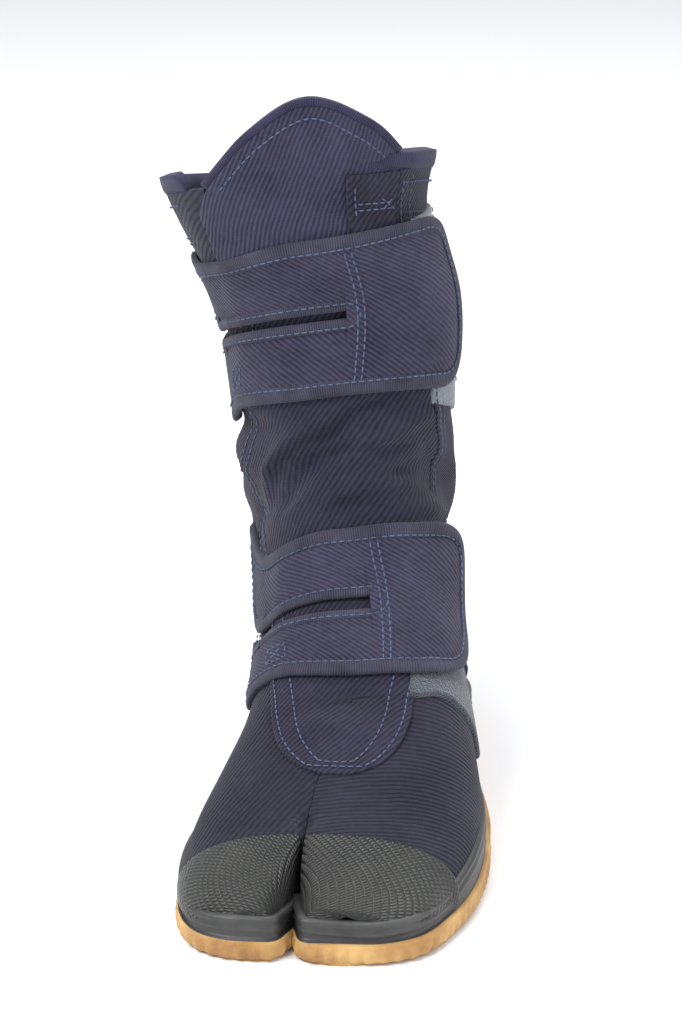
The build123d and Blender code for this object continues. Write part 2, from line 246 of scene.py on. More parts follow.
def make_chart():
    """Places and outward directions on a grid of whole v and u, and the ends of each row in u."""
    half = 720
    points = form(T_OF_V, np.linspace(-math.pi, math.pi, 2 * half + 1))
    normals = np.cross(np.gradient(points, axis=1), np.gradient(points, axis=0))
    normals /= np.maximum(np.linalg.norm(normals, axis=2, keepdims=True), 1e-9)
    grid_u = np.arange(-U_MAX, U_MAX + 1)
    run = distances(points)
    run -= run[:, half : half + 1]
    place = np.array([read_at(grid_u, u, row) for u, row in zip(run, points)])
    facing = np.array([read_at(grid_u, u, row) for u, row in zip(run, normals)])
    facing /= np.maximum(np.linalg.norm(facing, axis=2, keepdims=True), 1e-9)
    return place, facing, run[:, (0, -1)]


PLACE, FACING, ENDS = make_chart()


def sample(table, v, u):
    """Bilinear values of a chart table."""
    v = np.clip(v, 0, V_MAX - 1e-6)
    u = np.clip(np.asarray(u, float) + U_MAX, 0, 2 * U_MAX - 1e-6)
    i, j = v.astype(int), u.astype(int)
    f, g = (v - i)[..., None], (u - j)[..., None]
    low = table[i, j] * (1 - g) + table[i, j + 1] * g
    high = table[i + 1, j] * (1 - g) + table[i + 1, j + 1] * g
    return low * (1 - f) + high * f


# Soft folds of the cloth: v, u, half length, half width, slope, height
FOLDS = (
    (203, -22, 26, 4.2, 0.62, 2.4),
    (193, -12, 30, 4.0, 0.55, -2.6),
    (184, 2, 30, 5.0, 0.50, 2.3),
    (214, 6, 24, 4.0, 0.75, -2.0),
    (208, 18, 26, 4.4, 0.60, 2.0),
    (196, 26, 24, 4.0, 0.42, -2.2),
    (176, -18, 18, 4.0, 0.35, -1.7),
    (186, 44, 26, 5.0, 0.30, 2.0),
    (200, 56, 28, 5.0, 0.20, -2.0),
    (212, -44, 26, 4.6, -0.25, -2.2),
    (202, -52, 28, 5.0, -0.32, 2.2),
    (190, -60, 30, 5.0, -0.38, -2.4),
    (180, -70, 30, 5.5, -0.40, 2.0),
    (190, 76, 34, 5.5, -0.12, -2.2),
    (203, 92, 34, 6.0, -0.20, 2.0),
    (214, -88, 34, 5.5, 0.18, -2.0),
    (202, -104, 36, 6.0, 0.10, 2.0),
    (222, 112, 30, 6.0, 0.10, -1.6),
    (236, -118, 30, 6.0, -0.12, -1.5),
    (250, 98, 26, 6.0, 0.30, 1.4),
    (268, -112, 26, 6.0, 0.25, 1.3),
    (118, 72, 26, 6.0, 0.20, 1.1),
    (96, 62, 22, 5.0, -0.25, -0.9),
    (112, -76, 24, 6.0, -0.20, 1.0),
    (78, -58, 20, 5.0, 0.30, -0.8),
    (98, 4, 26, 7.0, 0.15, -0.9),
    (84, -6, 20, 6.0, -0.25, 0.8),
)


def relief(v, u):
    """How far the folds lift the cloth from the form; the cloth is drawn flat under straps and pile."""
    lift = 0.35 * np.sin(v / 9.0 + u / 23.0) * np.sin(u / 14.0 - v / 31.0)
    for v0, u0, length, width, slope, height in FOLDS:
        run = (u - u0) + slope * (v - v0)
        off = (v - v0) - slope * (u - u0) + 0.006 * run**2 * np.sign(slope)
        lift = lift + 1.75 * height * np.exp(-((run / length) ** 2) - (off / (0.85 * width)) ** 2)
    away = np.abs(u)
    upper = between(v, 216, 284) * (1 - smooth((away - 95) / 15))
    lower = between(v, 104, 174 + 0.15 * away) * (1 - smooth((away - 72) / 15))
    patch = between(v, 98, 178) * between(u, 12, 80, 8, 10)
    for held in (upper, lower, patch):
        lift = lift * (1 - 0.9 * held)
    return np.maximum(lift, -2.9 + 0.12 * lift)


def surf(v, u, h=0.0, folds=1.0):
    """Points at height h over the form, with the cloth's folds."""
    v, u = np.broadcast_arrays(np.asarray(v, float), np.asarray(u, float))
    h = np.asarray(h, float) + folds * relief(v, u)
    return sample(PLACE, v, u) + sample(FACING, v, u) * h[..., None]


def out_of(v, u):
    """Outward directions of the form."""
    v, u = np.broadcast_arrays(np.asarray(v, float), np.asarray(u, float))
    return unit(sample(FACING, v, u))


def on_chart(vu, h, folds=1.0, n=None):
    """A line of chart points at height h, and its normals."""
    vu = even(vu, n) if n else np.asarray(vu, float)
    return surf(vu[:, 0], vu[:, 1], h, folds), out_of(vu[:, 0], vu[:, 1])


# ---------------------------------------------------------------- meshes
def new_mesh(name, points, faces, uv, material):
    """A smooth mesh object from points in the maker's frame and one uv per point."""
    mesh = bpy.data.meshes.new(name)
    placed = (np.asarray(points, float).reshape(-1, 3) + SHIFT) * MM
    mesh.from_pydata(placed.tolist(), [], faces)
    layer = mesh.uv_layers.new(name="UVMap")
    corner = np.empty(len(mesh.loops), np.int32)
    mesh.loops.foreach_get("vertex_index", corner)
    layer.data.foreach_set("uv", np.asarray(uv, np.float32).reshape(-1, 2)[corner].ravel())
    mesh.polygons.foreach_set("use_smooth", [True] * len(mesh.polygons))
    mesh.materials.append(material)
    mesh.update()
    piece = bpy.data.objects.new(name, mesh)
    bpy.context.scene.collection.objects.link(piece)
    return piece


def quads(rows, columns, start=0, flip=False, wrap=False):
    """Faces of a grid of points, wrapped round in its columns if asked."""
    k = np.arange(rows * columns).reshape(rows, columns) + start
    if wrap:
        k = np.hstack([k, k[:, :1]])
    faces = np.stack([k[:-1, :-1], k[:-1, 1:], k[1:, 1:], k[1:, :-1]], -1).reshape(-1, 4)
    return (faces[:, ::-1] if flip else faces).tolist()


def shell(name, outer, inner, uv, material):
    """A closed sheet between two grids of points."""
    n, m = outer.shape[:2]
    total = n * m
    faces = quads(n, m) + quads(n, m, total, flip=True)
    rim = [(0, j) for j in range(m)] + [(i, m - 1) for i in range(1, n)]
    rim += [(n - 1, j) for j in range(m - 2, -1, -1)] + [(i, 0) for i in range(n - 2, 0, -1)]
    rim = [i * m + j for i, j in rim]
    for a, b in zip(rim, rim[1:] + rim[:1]):
        faces.append([b, a, a + total, b + total])
    points = np.concatenate([outer.reshape(-1, 3), inner.reshape(-1, 3)])
    both = np.concatenate([uv.reshape(-1, 2)] * 2)
    return new_mesh(name, points, faces, both, material)


def join(name, pieces):
    """One object out of several, keeping the first one's slot."""
    bpy.ops.object.select_all(action="DESELECT")
    for piece in pieces:
        piece.select_set(True)
    bpy.context.view_layer.objects.active = pieces[0]
    bpy.ops.object.join()
    pieces[0].name = name
    pieces[0].data.name = name
    return pieces[0]


def world(point):
    """A point of the maker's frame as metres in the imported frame."""
    return tuple((np.asarray(point, float) + SHIFT) * MM)


def on_boot(piece, *nodes):
    """Rides a piece on the boot, in place of the named CAD nodes."""
    if nodes:
        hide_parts(*nodes)
    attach(piece, "boot")


EDGE = np.array((0, 0.12, 0.35, 0.7, 1.15, 1.8, 2.6))  # distances of the rows beside an edge


def stations(width, step):
    """Shares from 0 to 1 of a width, close together near both ends."""
    n = max(3, int((width - 2 * EDGE[-1]) / step))
    middle = np.linspace(EDGE[-1], width - EDGE[-1], n)[1:-1]
    return np.concatenate([EDGE, middle, width - EDGE[::-1]]) / width


def dents(d, rows, depth=0.22, width=0.6):
    """How deep the stitch rows at the distances rows pull the cloth in."""
    return sum(depth * np.exp(-(((d - row) / width) ** 2)) for row in rows)


def panel(name, v0, v1, left, right, material, thick, base, rows, step, free, folds=1.0, swell=0.0):
    """A cloth piece on the chart, from v0 to v1 and between two edges left(v) and right(v).

    Its free edges are rounded, base is the height of its underside, and rows are the distances of
    its stitch rows from the nearest free edge.
    """
    v = v0 + (v1 - v0) * stations(abs(v1 - v0), step)
    lo, hi = left(v)[:, None], right(v)[:, None]
    u = lo + (hi - lo) * stations(float(np.max(hi - lo)), step)
    v = np.broadcast_to(v[:, None], u.shape)
    edge = {"L": u - lo, "R": hi - u, "B": np.abs(v - v0), "T": np.abs(v1 - v)}
    d = np.min([edge[k] for k in free], axis=0)
    h = thick * rounded(d, min(thick, 1.6)) + swell * rounded(d, 12.0)
    h = h - dents(d, rows) - dents(d, rows, 0.10, 2.2)
    foot = base(v) if callable(base) else base
    outer, inner = surf(v, u, foot + h, folds), surf(v, u, foot - 0.1 + 0 * h, folds)
    return shell(name, outer, inner, np.stack([u, v], -1), material)


def sweep(name, points, normals, profile, material):
    """A strip along points.

    Each profile point is a distance to the right of the way forward and a height along the normal.
    There is one profile for all points, or one for each.
    """
    p, n = np.asarray(points, float), np.asarray(normals, float)
    side = unit(np.cross(unit(np.gradient(p, axis=0)), n))
    profile = np.asarray(profile, float)
    if profile.ndim == 2:
        profile = np.broadcast_to(profile, (len(p),) + profile.shape)
    ring = p[:, None] + side[:, None] * profile[..., :1] + n[:, None] * profile[..., 1:2]
    k = profile.shape[1]
    uv = both(distances(ring[:, 0])[:, None], distances(profile[0])[None, :])
    faces = quads(len(ring), k, wrap=True)
    faces += [list(range(k))[::-1], list(range((len(ring) - 1) * k, len(ring) * k))]
    return new_mesh(name, ring, faces, uv, material)


def tape_profile(width, depth, over=0.45):
    """A folded edge tape: width over the top, round the edge, and back underneath."""
    top, low = depth + over, -0.15
    points = [(-width, low), (-width, depth - 0.2), (-width + 0.4, top - 0.1), (-width + 1.2, top)]
    points += [(-width * 0.5, top + 0.12), (-0.9, top), (-0.1, top - 0.25), (0.45, top - 0.8)]
    points += [(0.6, (top + low) / 2), (0.45, low + 0.7), (-0.1, low + 0.1), (-1.0, low)]
    return points


STITCH_PITCH = 2.9
STITCH_HALF = 1.05
STITCH_RING = ((-1.05, 0.06), (-0.85, 0.24), (-0.3, 0.3), (0.3, 0.3), (0.85, 0.24), (1.05, 0.06))
STITCH_SIDES = 6


def stitches(name, lines):
    """Thread stitches, one short thread after another, along lines of (points, normals)."""
    points, faces = [], []
    rings = len(STITCH_RING)
    angles = np.linspace(0, 2 * math.pi, STITCH_SIDES, endpoint=False)
    for line, normal in lines:
        run = distances(line)
        at = np.arange(STITCH_PITCH / 2, run[-1] - STITCH_PITCH / 4, STITCH_PITCH)
        if not len(at):
            continue
        centre, up = read_at(at, run, line), unit(read_at(at, run, normal))
        ahead = unit(read_at(at + 0.5, run, line) - read_at(at - 0.5, run, line))
        for c, a, b, n in zip(centre, ahead, np.cross(ahead, up), up):
            first = len(points)
            for x, r in STITCH_RING:
                middle = c + a * x + n * (0.12 + 0.16 * (1 - (x / STITCH_HALF) ** 2))
                points += [middle + (b * math.cos(w) + n * math.sin(w)) * r for w in angles]
            faces += quads(rings, STITCH_SIDES, first, wrap=True)
            faces.append([first + k for k in range(STITCH_SIDES)][::-1])
            faces.append([first + (rings - 1) * STITCH_SIDES + k for k in range(STITCH_SIDES)])
    return new_mesh(name, points, faces, np.zeros((len(points), 2)), THREAD)


# ---------------------------------------------------------------- materials
def srgb(r, g, b):
    c = np.array((r, g, b)) / 255.0
    return tuple(np.where(c <= 0.04045, c / 12.92, ((c + 0.055) / 1.055) ** 2.4)) + (1.0,)


class Nodes:
    """A small writer of shader nodes for one material, with uv in millimetres."""

    def __init__(self, name, roughness=0.9, sheen=0.0, specular=0.25):
        self.material = bpy.data.materials.new(name)
        self.material.use_nodes = True
        self.tree = self.material.node_tree
        self.shader = self.tree.nodes["Principled BSDF"]
        self.shader.inputs["Roughness"].default_value = roughness
        self.shader.inputs["Specular IOR Level"].default_value = specular
        self.shader.inputs["Sheen Weight"].default_value = sheen
        self.shader.inputs["Sheen Roughness"].default_value = 0.5
        where = self.tree.nodes.new("ShaderNodeUVMap")
        where.uv_map = "UVMap"
        split = self.tree.nodes.new("ShaderNodeSeparateXYZ")
        self.link(where.outputs[0], split.inputs[0])
        self.u, self.v = split.outputs[0], split.outputs[1]
        self.place = self.tree.nodes.new("ShaderNodeTexCoord").outputs["Object"]

    def link(self, a, b):
        self.tree.links.new(a, b)

    def math(self, operation, *values):
        node = self.tree.nodes.new("ShaderNodeMath")
        node.operation = operation
        for k, value in enumerate(values):
            if isinstance(value, (int, float)):
                node.inputs[k].default_value = value
            else:
                self.link(value, node.inputs[k])
        return node.outputs[0]

    def total(self, *parts):
        """The sum of (value, weight) pairs."""
        out = None
        for value, weight in parts:
            term = self.math("MULTIPLY", value, weight)
            out = term if out is None else self.math("ADD", out, term)
        return out

    def noise(self, scale, detail=3.0, rough=0.55):
        node = self.tree.nodes.new("ShaderNodeTexNoise")
        node.inputs["Scale"].default_value = scale
        node.inputs["Detail"].default_value = detail
        node.inputs["Roughness"].default_value = rough
        self.link(self.place, node.inputs["Vector"])
        return node.outputs["Fac"]

    def wave(self, cu, cv, pitch, wobble=None, share=0.0):
        """A cosine from 0 to 1 across lines of the uv, pitch millimetres apart, and its phase in turns."""
        phase = self.total((self.u, cu / pitch), (self.v, cv / pitch))
        if wobble is not None:
            phase = self.math("ADD", phase, self.math("MULTIPLY", wobble, share))
        turn = self.math("COSINE", self.math("MULTIPLY", phase, 2 * math.pi))
        return self.math("MULTIPLY_ADD", turn, 0.5, 0.5), phase

    def span(self, value, low, high, a=0.0, b=1.0):
        """The value with low to high stretched to a to b."""
        node = self.tree.nodes.new("ShaderNodeMapRange")
        self.link(value, node.inputs[0])
        for k, x in enumerate((low, high, a, b)):
            node.inputs[k + 1].default_value = x
        return node.outputs[0]

    def done(self, shade, dark, light, height, depth, roughness=None):
        """Colour from dark to light by shade, bump of a depth in millimetres, and roughness."""
        mix = self.tree.nodes.new("ShaderNodeMix")
        mix.data_type = "RGBA"
        self.link(shade, mix.inputs[0])
        mix.inputs[6].default_value, mix.inputs[7].default_value = dark, light
        self.link(mix.outputs[2], self.shader.inputs["Base Color"])
        bump = self.tree.nodes.new("ShaderNodeBump")
        bump.inputs["Distance"].default_value = depth * MM
        self.link(height, bump.inputs["Height"])
        self.link(bump.outputs[0], self.shader.inputs["Normal"])
        if roughness is not None:
            self.link(roughness, self.shader.inputs["Roughness"])
        return self.material


def twill(name, dark, light, angle, pitch):
    """Cotton twill: slanting ribs of twisted yarn, worn paler on their tops, with uneven dye."""
    m = Nodes(name, roughness=0.9, sheen=0.08)
    c, s = math.cos(math.radians(angle)), math.sin(math.radians(angle))
    rib, phase = m.wave(-s, c, pitch, m.noise(60, 2), 1.2)
    yarn, _ = m.wave(c, s, 1.15, m.math("FLOOR", phase), 0.5)
    height = m.total((m.math("POWER", rib, 0.7), 0.72), (yarn, 0.16), (m.noise(2600, 2), 0.22))
    worn = m.span(m.noise(38, 4), 0.35, 0.68)
    shade = m.total((rib, 0.55), (worn, 0.28), (m.span(m.noise(420, 2), 0.35, 0.7), 0.17))
    return m.done(shade, dark, light, height, 0.34, m.span(worn, 0, 1, 0.94, 0.84))


def tape(name, dark, light, pitch=0.85):
    """Ribbed woven tape: fine ribs across its length."""
    m = Nodes(name, roughness=0.85, sheen=0.08)
    rib, _ = m.wave(1.0, 0.0, pitch, m.noise(300, 2), 0.5)
    warp, _ = m.wave(0.0, 1.0, 0.5)
    shade = m.total((rib, 0.5), (m.span(m.noise(90, 3), 0.3, 0.7), 0.5))
    height = m.total((rib, 0.7), (warp, 0.2))
    return m.done(shade, dark, light, height, 0.2, m.span(shade, 0, 1, 0.9, 0.78))


def rubber(name, dark, light, roughness, emboss=0.0):
    """Moulded rubber: fine grain, patches of dust and, for an emboss in millimetres, a weave with painted
    highlights on its raised tops and painted shade in its hollows.
    """
    m = Nodes(name, roughness=roughness, specular=0.5)
    dust = m.span(m.noise(45, 5), 0.38, 0.7)
    scuff = m.span(m.noise(160, 4, rough=0.7), 0.55, 0.75)
    height = m.math("MULTIPLY", m.noise(900, 3), 0.3)
    shade = m.total((dust, 0.5), (scuff, 0.25))
    if emboss:
        a, b = m.wave(0.82, 0.57, emboss)[0], m.wave(-0.57, 0.82, emboss)[0]
        weave = m.math("MULTIPLY", m.math("POWER", a, 0.6), m.math("POWER", b, 0.6))
        height = m.math("ADD", height, weave)
        # the colour follows the weave: raised tops painted lighter as painted highlights, hollows darker as
        # painted shade
        shade = m.total((shade, 0.35), (weave, 0.6))
    rough = m.span(shade, 0, 1, roughness - 0.08, roughness + 0.2)
    return m.done(shade, dark, light, height, 0.6 if emboss else 0.12, rough)


def pile(name, dark, light):
    """Fastening pile: short tangled loops."""
    m = Nodes(name, roughness=0.95, sheen=0.5)
    loops = m.noise(1900, 3, rough=0.7)
    cell = m.tree.nodes.new("ShaderNodeTexVoronoi")
    cell.inputs["Scale"].default_value = 1100
    m.link(m.place, cell.inputs["Vector"])
    height = m.total((loops, 0.8), (cell.outputs["Distance"], 0.5))
    shade = m.total((m.span(loops, 0.3, 0.7), 0.6), (m.span(m.noise(150, 3), 0.35, 0.65), 0.4))
    return m.done(shade, dark, light, height, 0.9)


def gum(name, dark, light):
    """Raw gum rubber: amber, a little see-through, marked by its mould and by dust."""
    m = Nodes(name, roughness=0.5)
    m.shader.inputs["Subsurface Weight"].default_value = 0.25
    m.shader.inputs["Subsurface Radius"].default_value = (1.0, 0.5, 0.2)
    m.shader.inputs["Subsurface Scale"].default_value = 0.002
    cloud = m.span(m.noise(55, 4), 0.35, 0.68)
    grain = m.noise(1100, 3)
    shade = m.total((cloud, 0.75), (grain, 0.25))
    return m.done(shade, dark, light, grain, 0.12, m.span(cloud, 0, 1, 0.42, 0.6))


def plain_weave(name, dark, light, pitch=0.9):
    m = Nodes(name, roughness=0.92, sheen=0.15)
    weave = m.math("MULTIPLY", m.wave(1.0, 0.0, pitch)[0], m.wave(0.0, 1.0, pitch)[0])
    shade = m.total((weave, 0.4), (m.span(m.noise(80, 4), 0.3, 0.7), 0.6))
    return m.done(shade, dark, light, weave, 0.2, m.span(shade, 0, 1, 0.95, 0.88))


BODY_TWILL = twill("body_twill", srgb(14, 13, 22), srgb(52, 50, 69), 52, 1.8)
APRON_TWILL = twill("apron_twill", srgb(14, 13, 23), srgb(51, 49, 70), 55, 1.8)
VAMP_TWILL = twill("vamp_twill", srgb(12, 11, 20), srgb(44, 42, 60), 12, 1.9)
MEDIAL_TWILL = twill("medial_twill", srgb(12, 11, 20), srgb(44, 42, 60), 48, 1.9)
STRAP_TWILL = twill("strap_twill", srgb(24, 23, 36), srgb(68, 66, 89), -42, 1.55)
TONGUE_TWILL = twill("tongue_twill", srgb(24, 23, 36), srgb(68, 67, 92), 66, 1.6)
TAPE = tape("edge_tape", srgb(28, 28, 40), srgb(68, 67, 84))
HEM_TAPE = tape("hem_tape", srgb(26, 24, 42), srgb(60, 57, 88))
THREAD = tape("thread", srgb(60, 70, 98), srgb(92, 104, 132), 0.5)
CAP_RUBBER = rubber("cap_rubber", srgb(10, 10, 10), srgb(84, 85, 81), 0.36, emboss=1.7)
FOX_RUBBER = rubber("foxing_rubber", srgb(34, 34, 35), srgb(88, 88, 87), 0.5)
GUM = gum("gum_rubber", srgb(150, 108, 62), srgb(208, 170, 112))
PALE_PILE = pile("pale_pile", srgb(70, 80, 90), srgb(124, 134, 144))
TEAL_PILE = pile("teal_pile", srgb(26, 32, 43), srgb(62, 70, 84))
HOOKS = pile("hook_tape", srgb(30, 30, 36), srgb(66, 66, 76))
LINING = plain_weave("lining_cloth", srgb(128, 128, 134), srgb(188, 188, 194))
BOARD = plain_weave("board", srgb(120, 104, 84), srgb(168, 150, 124), 1.4)


# ---------------------------------------------------------------- edges of the cloth pieces, in the chart
def nearest(target, axis, first, reach):
    """The chart place nearest to a target seen along one axis, from row first up and within reach in u."""
    near = PLACE[first:, U_MAX - reach : U_MAX + reach + 1]
    d = (near[..., 0] - target[0]) ** 2 + (near[..., axis] - target[1]) ** 2
    k = np.unravel_index(d.argmin(), d.shape)
    return float(k[0] + first), float(k[1] - reach)


def chart_xy(x, y):
    """The chart place on the top of the foot over a point of the plan."""
    return nearest((x, y), 1, 0, 70)


def chart_xz(x, z):
    """The chart place on the front of the leg behind a point seen from the front."""
    return nearest((x, z), 2, 150, 60)


def follow(line):
    """u as a function of v along a line of chart places."""
    line = line[np.argsort(line[:, 0])]
    return lambda v: np.interp(v, line[:, 0], line[:, 1])


def edge_of(points):
    """u as a smooth function of v through chart places."""
    return follow(curve(sorted(points), 400))


APRON_LEFT = edge_of(
    [
        (61, -1), (62.2, -7), (66, -14), (74, -21), (86, -26.5), (113, -33), (150, -40),
        (176, -52), (193, -58), (208, -50), (240, -40), (271, -34), (292, -36),
    ]
)
APRON_RIGHT = edge_of(
    [
        (61, 1), (62.5, 7), (68, 14.5), (78, 19.5), (90, 21.5), (109, 22.5), (140, 30),
        (172, 48), (193, 54), (206, 47), (220, 38), (250, 36), (285, 38), (308, 42),
    ]
)
APRON_FOOT = 61.0
FLAP_INNER = edge_of([(270, 19), (288, 20.5), (300, 21), (312, 21.5)])
FOLD_V = chart_xz(-20, 217)[0]  # the free tongue's edges turn at this v
V_FLAP = chart_xz(10, 232.5)[0]  # top of the outer quarter's corner
V_QUARTER = float(np.interp(7.75, T_OF_V, np.arange(V_MAX + 1)))  # lower seam of the quarters


def apron_right(v):
    """The outer edge of the apron and of the collar's flap."""
    return APRON_RIGHT(v) - 0.6


def above_rim(points, height):
    """How far points are above a collar plane, which passes at a height over (33, 60) and is tilted."""
    return points[:, 2] - (height + 0.116 * (points[:, 0] - 33) - 0.23 * (points[:, 1] - 60))


def rim_v(u):
    """v where the collar ends, at one u."""
    grid = np.arange(230, V_MAX)
    gap = above_rim(sample(PLACE, grid.astype(float), np.full(len(grid), u)), 228)
    k = int(np.argmax(gap > 0))
    return grid[k - 1] + gap[k - 1] / (gap[k - 1] - gap[k])


RIM_U = np.arange(-U_MAX, U_MAX + 1, 4.0)
RIM_V = np.array([rim_v(u) for u in RIM_U])


def sole_u(v, side):
    """How far round a row the cloth goes: down to the sole, or to the back of the heel."""
    out = []
    for one in np.atleast_1d(v):
        u = np.arange(20.0, U_MAX)
        low = np.nonzero(sample(PLACE, np.full(len(u), float(one)), side * u)[:, 2] < SEAM_Z)[0]
        end = ENDS[int(min(one, V_MAX))][1]
        out.append(min(u[low[0]] if len(low) else end, end))
    return np.array(out)


LEG_Y, LEG_RADIUS = 78.0, 46.0


def wrap_uv(points):
    """Cloth coordinates of the leg: millimetres round it and up it."""
    turn = np.arctan2(points[..., 0], LEG_Y - points[..., 1])
    return np.stack([turn * LEG_RADIUS, points[..., 2]], -1)


# ---------------------------------------------------------------- vamp and toe caps
CLEFT_TIP, CLEFT_ROOT, CLEFT_END = (-12.5, -134.0), (-6.0, -80.0), (-4.6, -74.0)


def cleft_x(y):
    """Middle of the parting between the toes."""
    x_at, y_at = zip(CLEFT_TIP, CLEFT_ROOT, CLEFT_END)
    return np.interp(y, y_at, x_at)


def cleft_gap(y):
    """Half the width of the gap between the lobes: a crease that opens to a V at the tips."""
    return 0.03 + 0.7 * smooth((-97 - y) / 14) + 4.6 * smooth((-108 - y) / 26) ** 1.3


def lobe_row(t, side, count, grow):
    """One row of the vamp from the sole to its inner end, down the wall of the cleft where there is one."""
    line = form(t, np.linspace(0, math.pi, 400) * side, grow)[0][::-1]
    line = line[np.argmax(line[:, 2] > SEAM_Z) :]
    y = line[-1, 1]
    if y > CLEFT_END[1] - 0.5:
        return even(line, count)
    wall = cleft_x(y) + side * cleft_gap(y)
    past = form(t, -np.linspace(0, math.pi, 400)[1:120] * side, grow)[0]
    whole = np.vstack([line, past])
    inside = side * (whole[:, 0] - wall) > 0
    whole = whole if inside.all() else whole[: int(np.argmax(~inside))]
    top = whole[-1, 2]
    drop = 0.7 + 40 * smooth((-92 - y) / 15)
    down = np.arange(top - 0.5, max(9.0, top - drop), -0.5)
    foot = np.stack([np.full(len(down), wall), np.full(len(down), y), down], -1)
    whole = even(np.vstack([whole, foot]), 420)
    step = np.linalg.norm(whole[1] - whole[0])
    radius = 0.6 + 1.4 * smooth((-90 - y) / 10) + 6.5 * smooth((-96 - y) / 30)
    soft = smear(whole, bell(int(3 * radius / step) + 1, step, radius * 0.6), "edge")
    run = np.arange(len(whole)) * step
    corner = run[-1] - len(down) * 0.5
    near = np.exp(-(((run - corner) / (2.2 * radius)) ** 2))[:, None]
    return even(whole * (1 - near) + soft * near, count)


TOE_ROWS = int(FINE * 8.5 / 15)


def row_t(y):
    """The fractional row whose front point has this y, on the toe and instep."""
    return float(np.interp(y, FRONT[:TOE_ROWS, 1], FINE_T[:TOE_ROWS]))


def lobe_grid(ts, side, count, grow):
    return np.array([lobe_row(t, side, count, grow) for t in ts])


def lobe_shell(name, side, outer, inner, uv, material, node):
    """A closed piece over one side of the toes; the outer side's grid is turned to face outward."""
    if side > 0:
        outer, inner, uv = outer[:, ::-1], inner[:, ::-1], uv[:, ::-1]
    on_boot(shell(name, outer, inner, uv, material), node)


def make_vamp():
    low_t, high_t = row_t(-113.0), 8.15
    ts = low_t + (high_t - low_t) * stations(100, 1.4)
    for side, name, cloth in ((-1, "medial", MEDIAL_TWILL), (1, "lateral", VAMP_TWILL)):
        outer, inner = lobe_grid(ts, side, 110, CLOTH_T), lobe_grid(ts, side, 110, -0.05)
        uv = np.stack([-side * distances(outer), outer[..., 1]], -1)
        lobe_shell(f"vamp_{name}_cloth", side, outer, inner, uv, cloth, f"vamp_{name}")


def make_toe_caps():
    columns = 130
    ts = np.maximum(stations(60, 0.9) * row_t(-103.5), 0.02)
    lip = (0.25 + 0.75 * rounded((ts[-1] - ts) * 12, 1.4))[:, None, None]
    bend = smooth((ts - (ts[-1] - 0.5)) / 0.5)[:, None]
    across = np.linspace(-1, 1, columns)[None, :]
    dips = {-1: 1.8 * across**2, 1: 3.4 * np.clip(-across, 0, 1) ** 2}
    for side, name in ((-1, "big"), (1, "small")):
        outer, inner = lobe_grid(ts, side, columns, 0.9 + CAP_T), lobe_grid(ts, side, columns, 0.9)
        outer = inner + (outer - inner) * lip
        # the rear edge of the cap curves forward towards its sides
        for grid in (outer, inner):
            grid[..., 1] -= dips[side] * bend * 0.9
        uv = both(side * distances(outer), distances(outer[:, 65])[:, None])
        # the nose is closed by a first row drawn almost to a point
        centre = outer[0].mean(0)
        nose = (centre + (outer[0] - centre) * 0.02 + (0, -0.6, 0))[None]
        outer, inner = np.concatenate([nose, outer]), np.concatenate([nose + (0, 0.5, 0), inner])
        uv = np.concatenate([uv[:1] * (1, 0) + (0, -6), uv])
        piece = f"toe_cap_{name}_rubber"
        lobe_shell(piece, side, outer, inner, uv, CAP_RUBBER, f"toe_cap_{name}")


# ---------------------------------------------------------------- straps
TAB_CORNER = 13.0


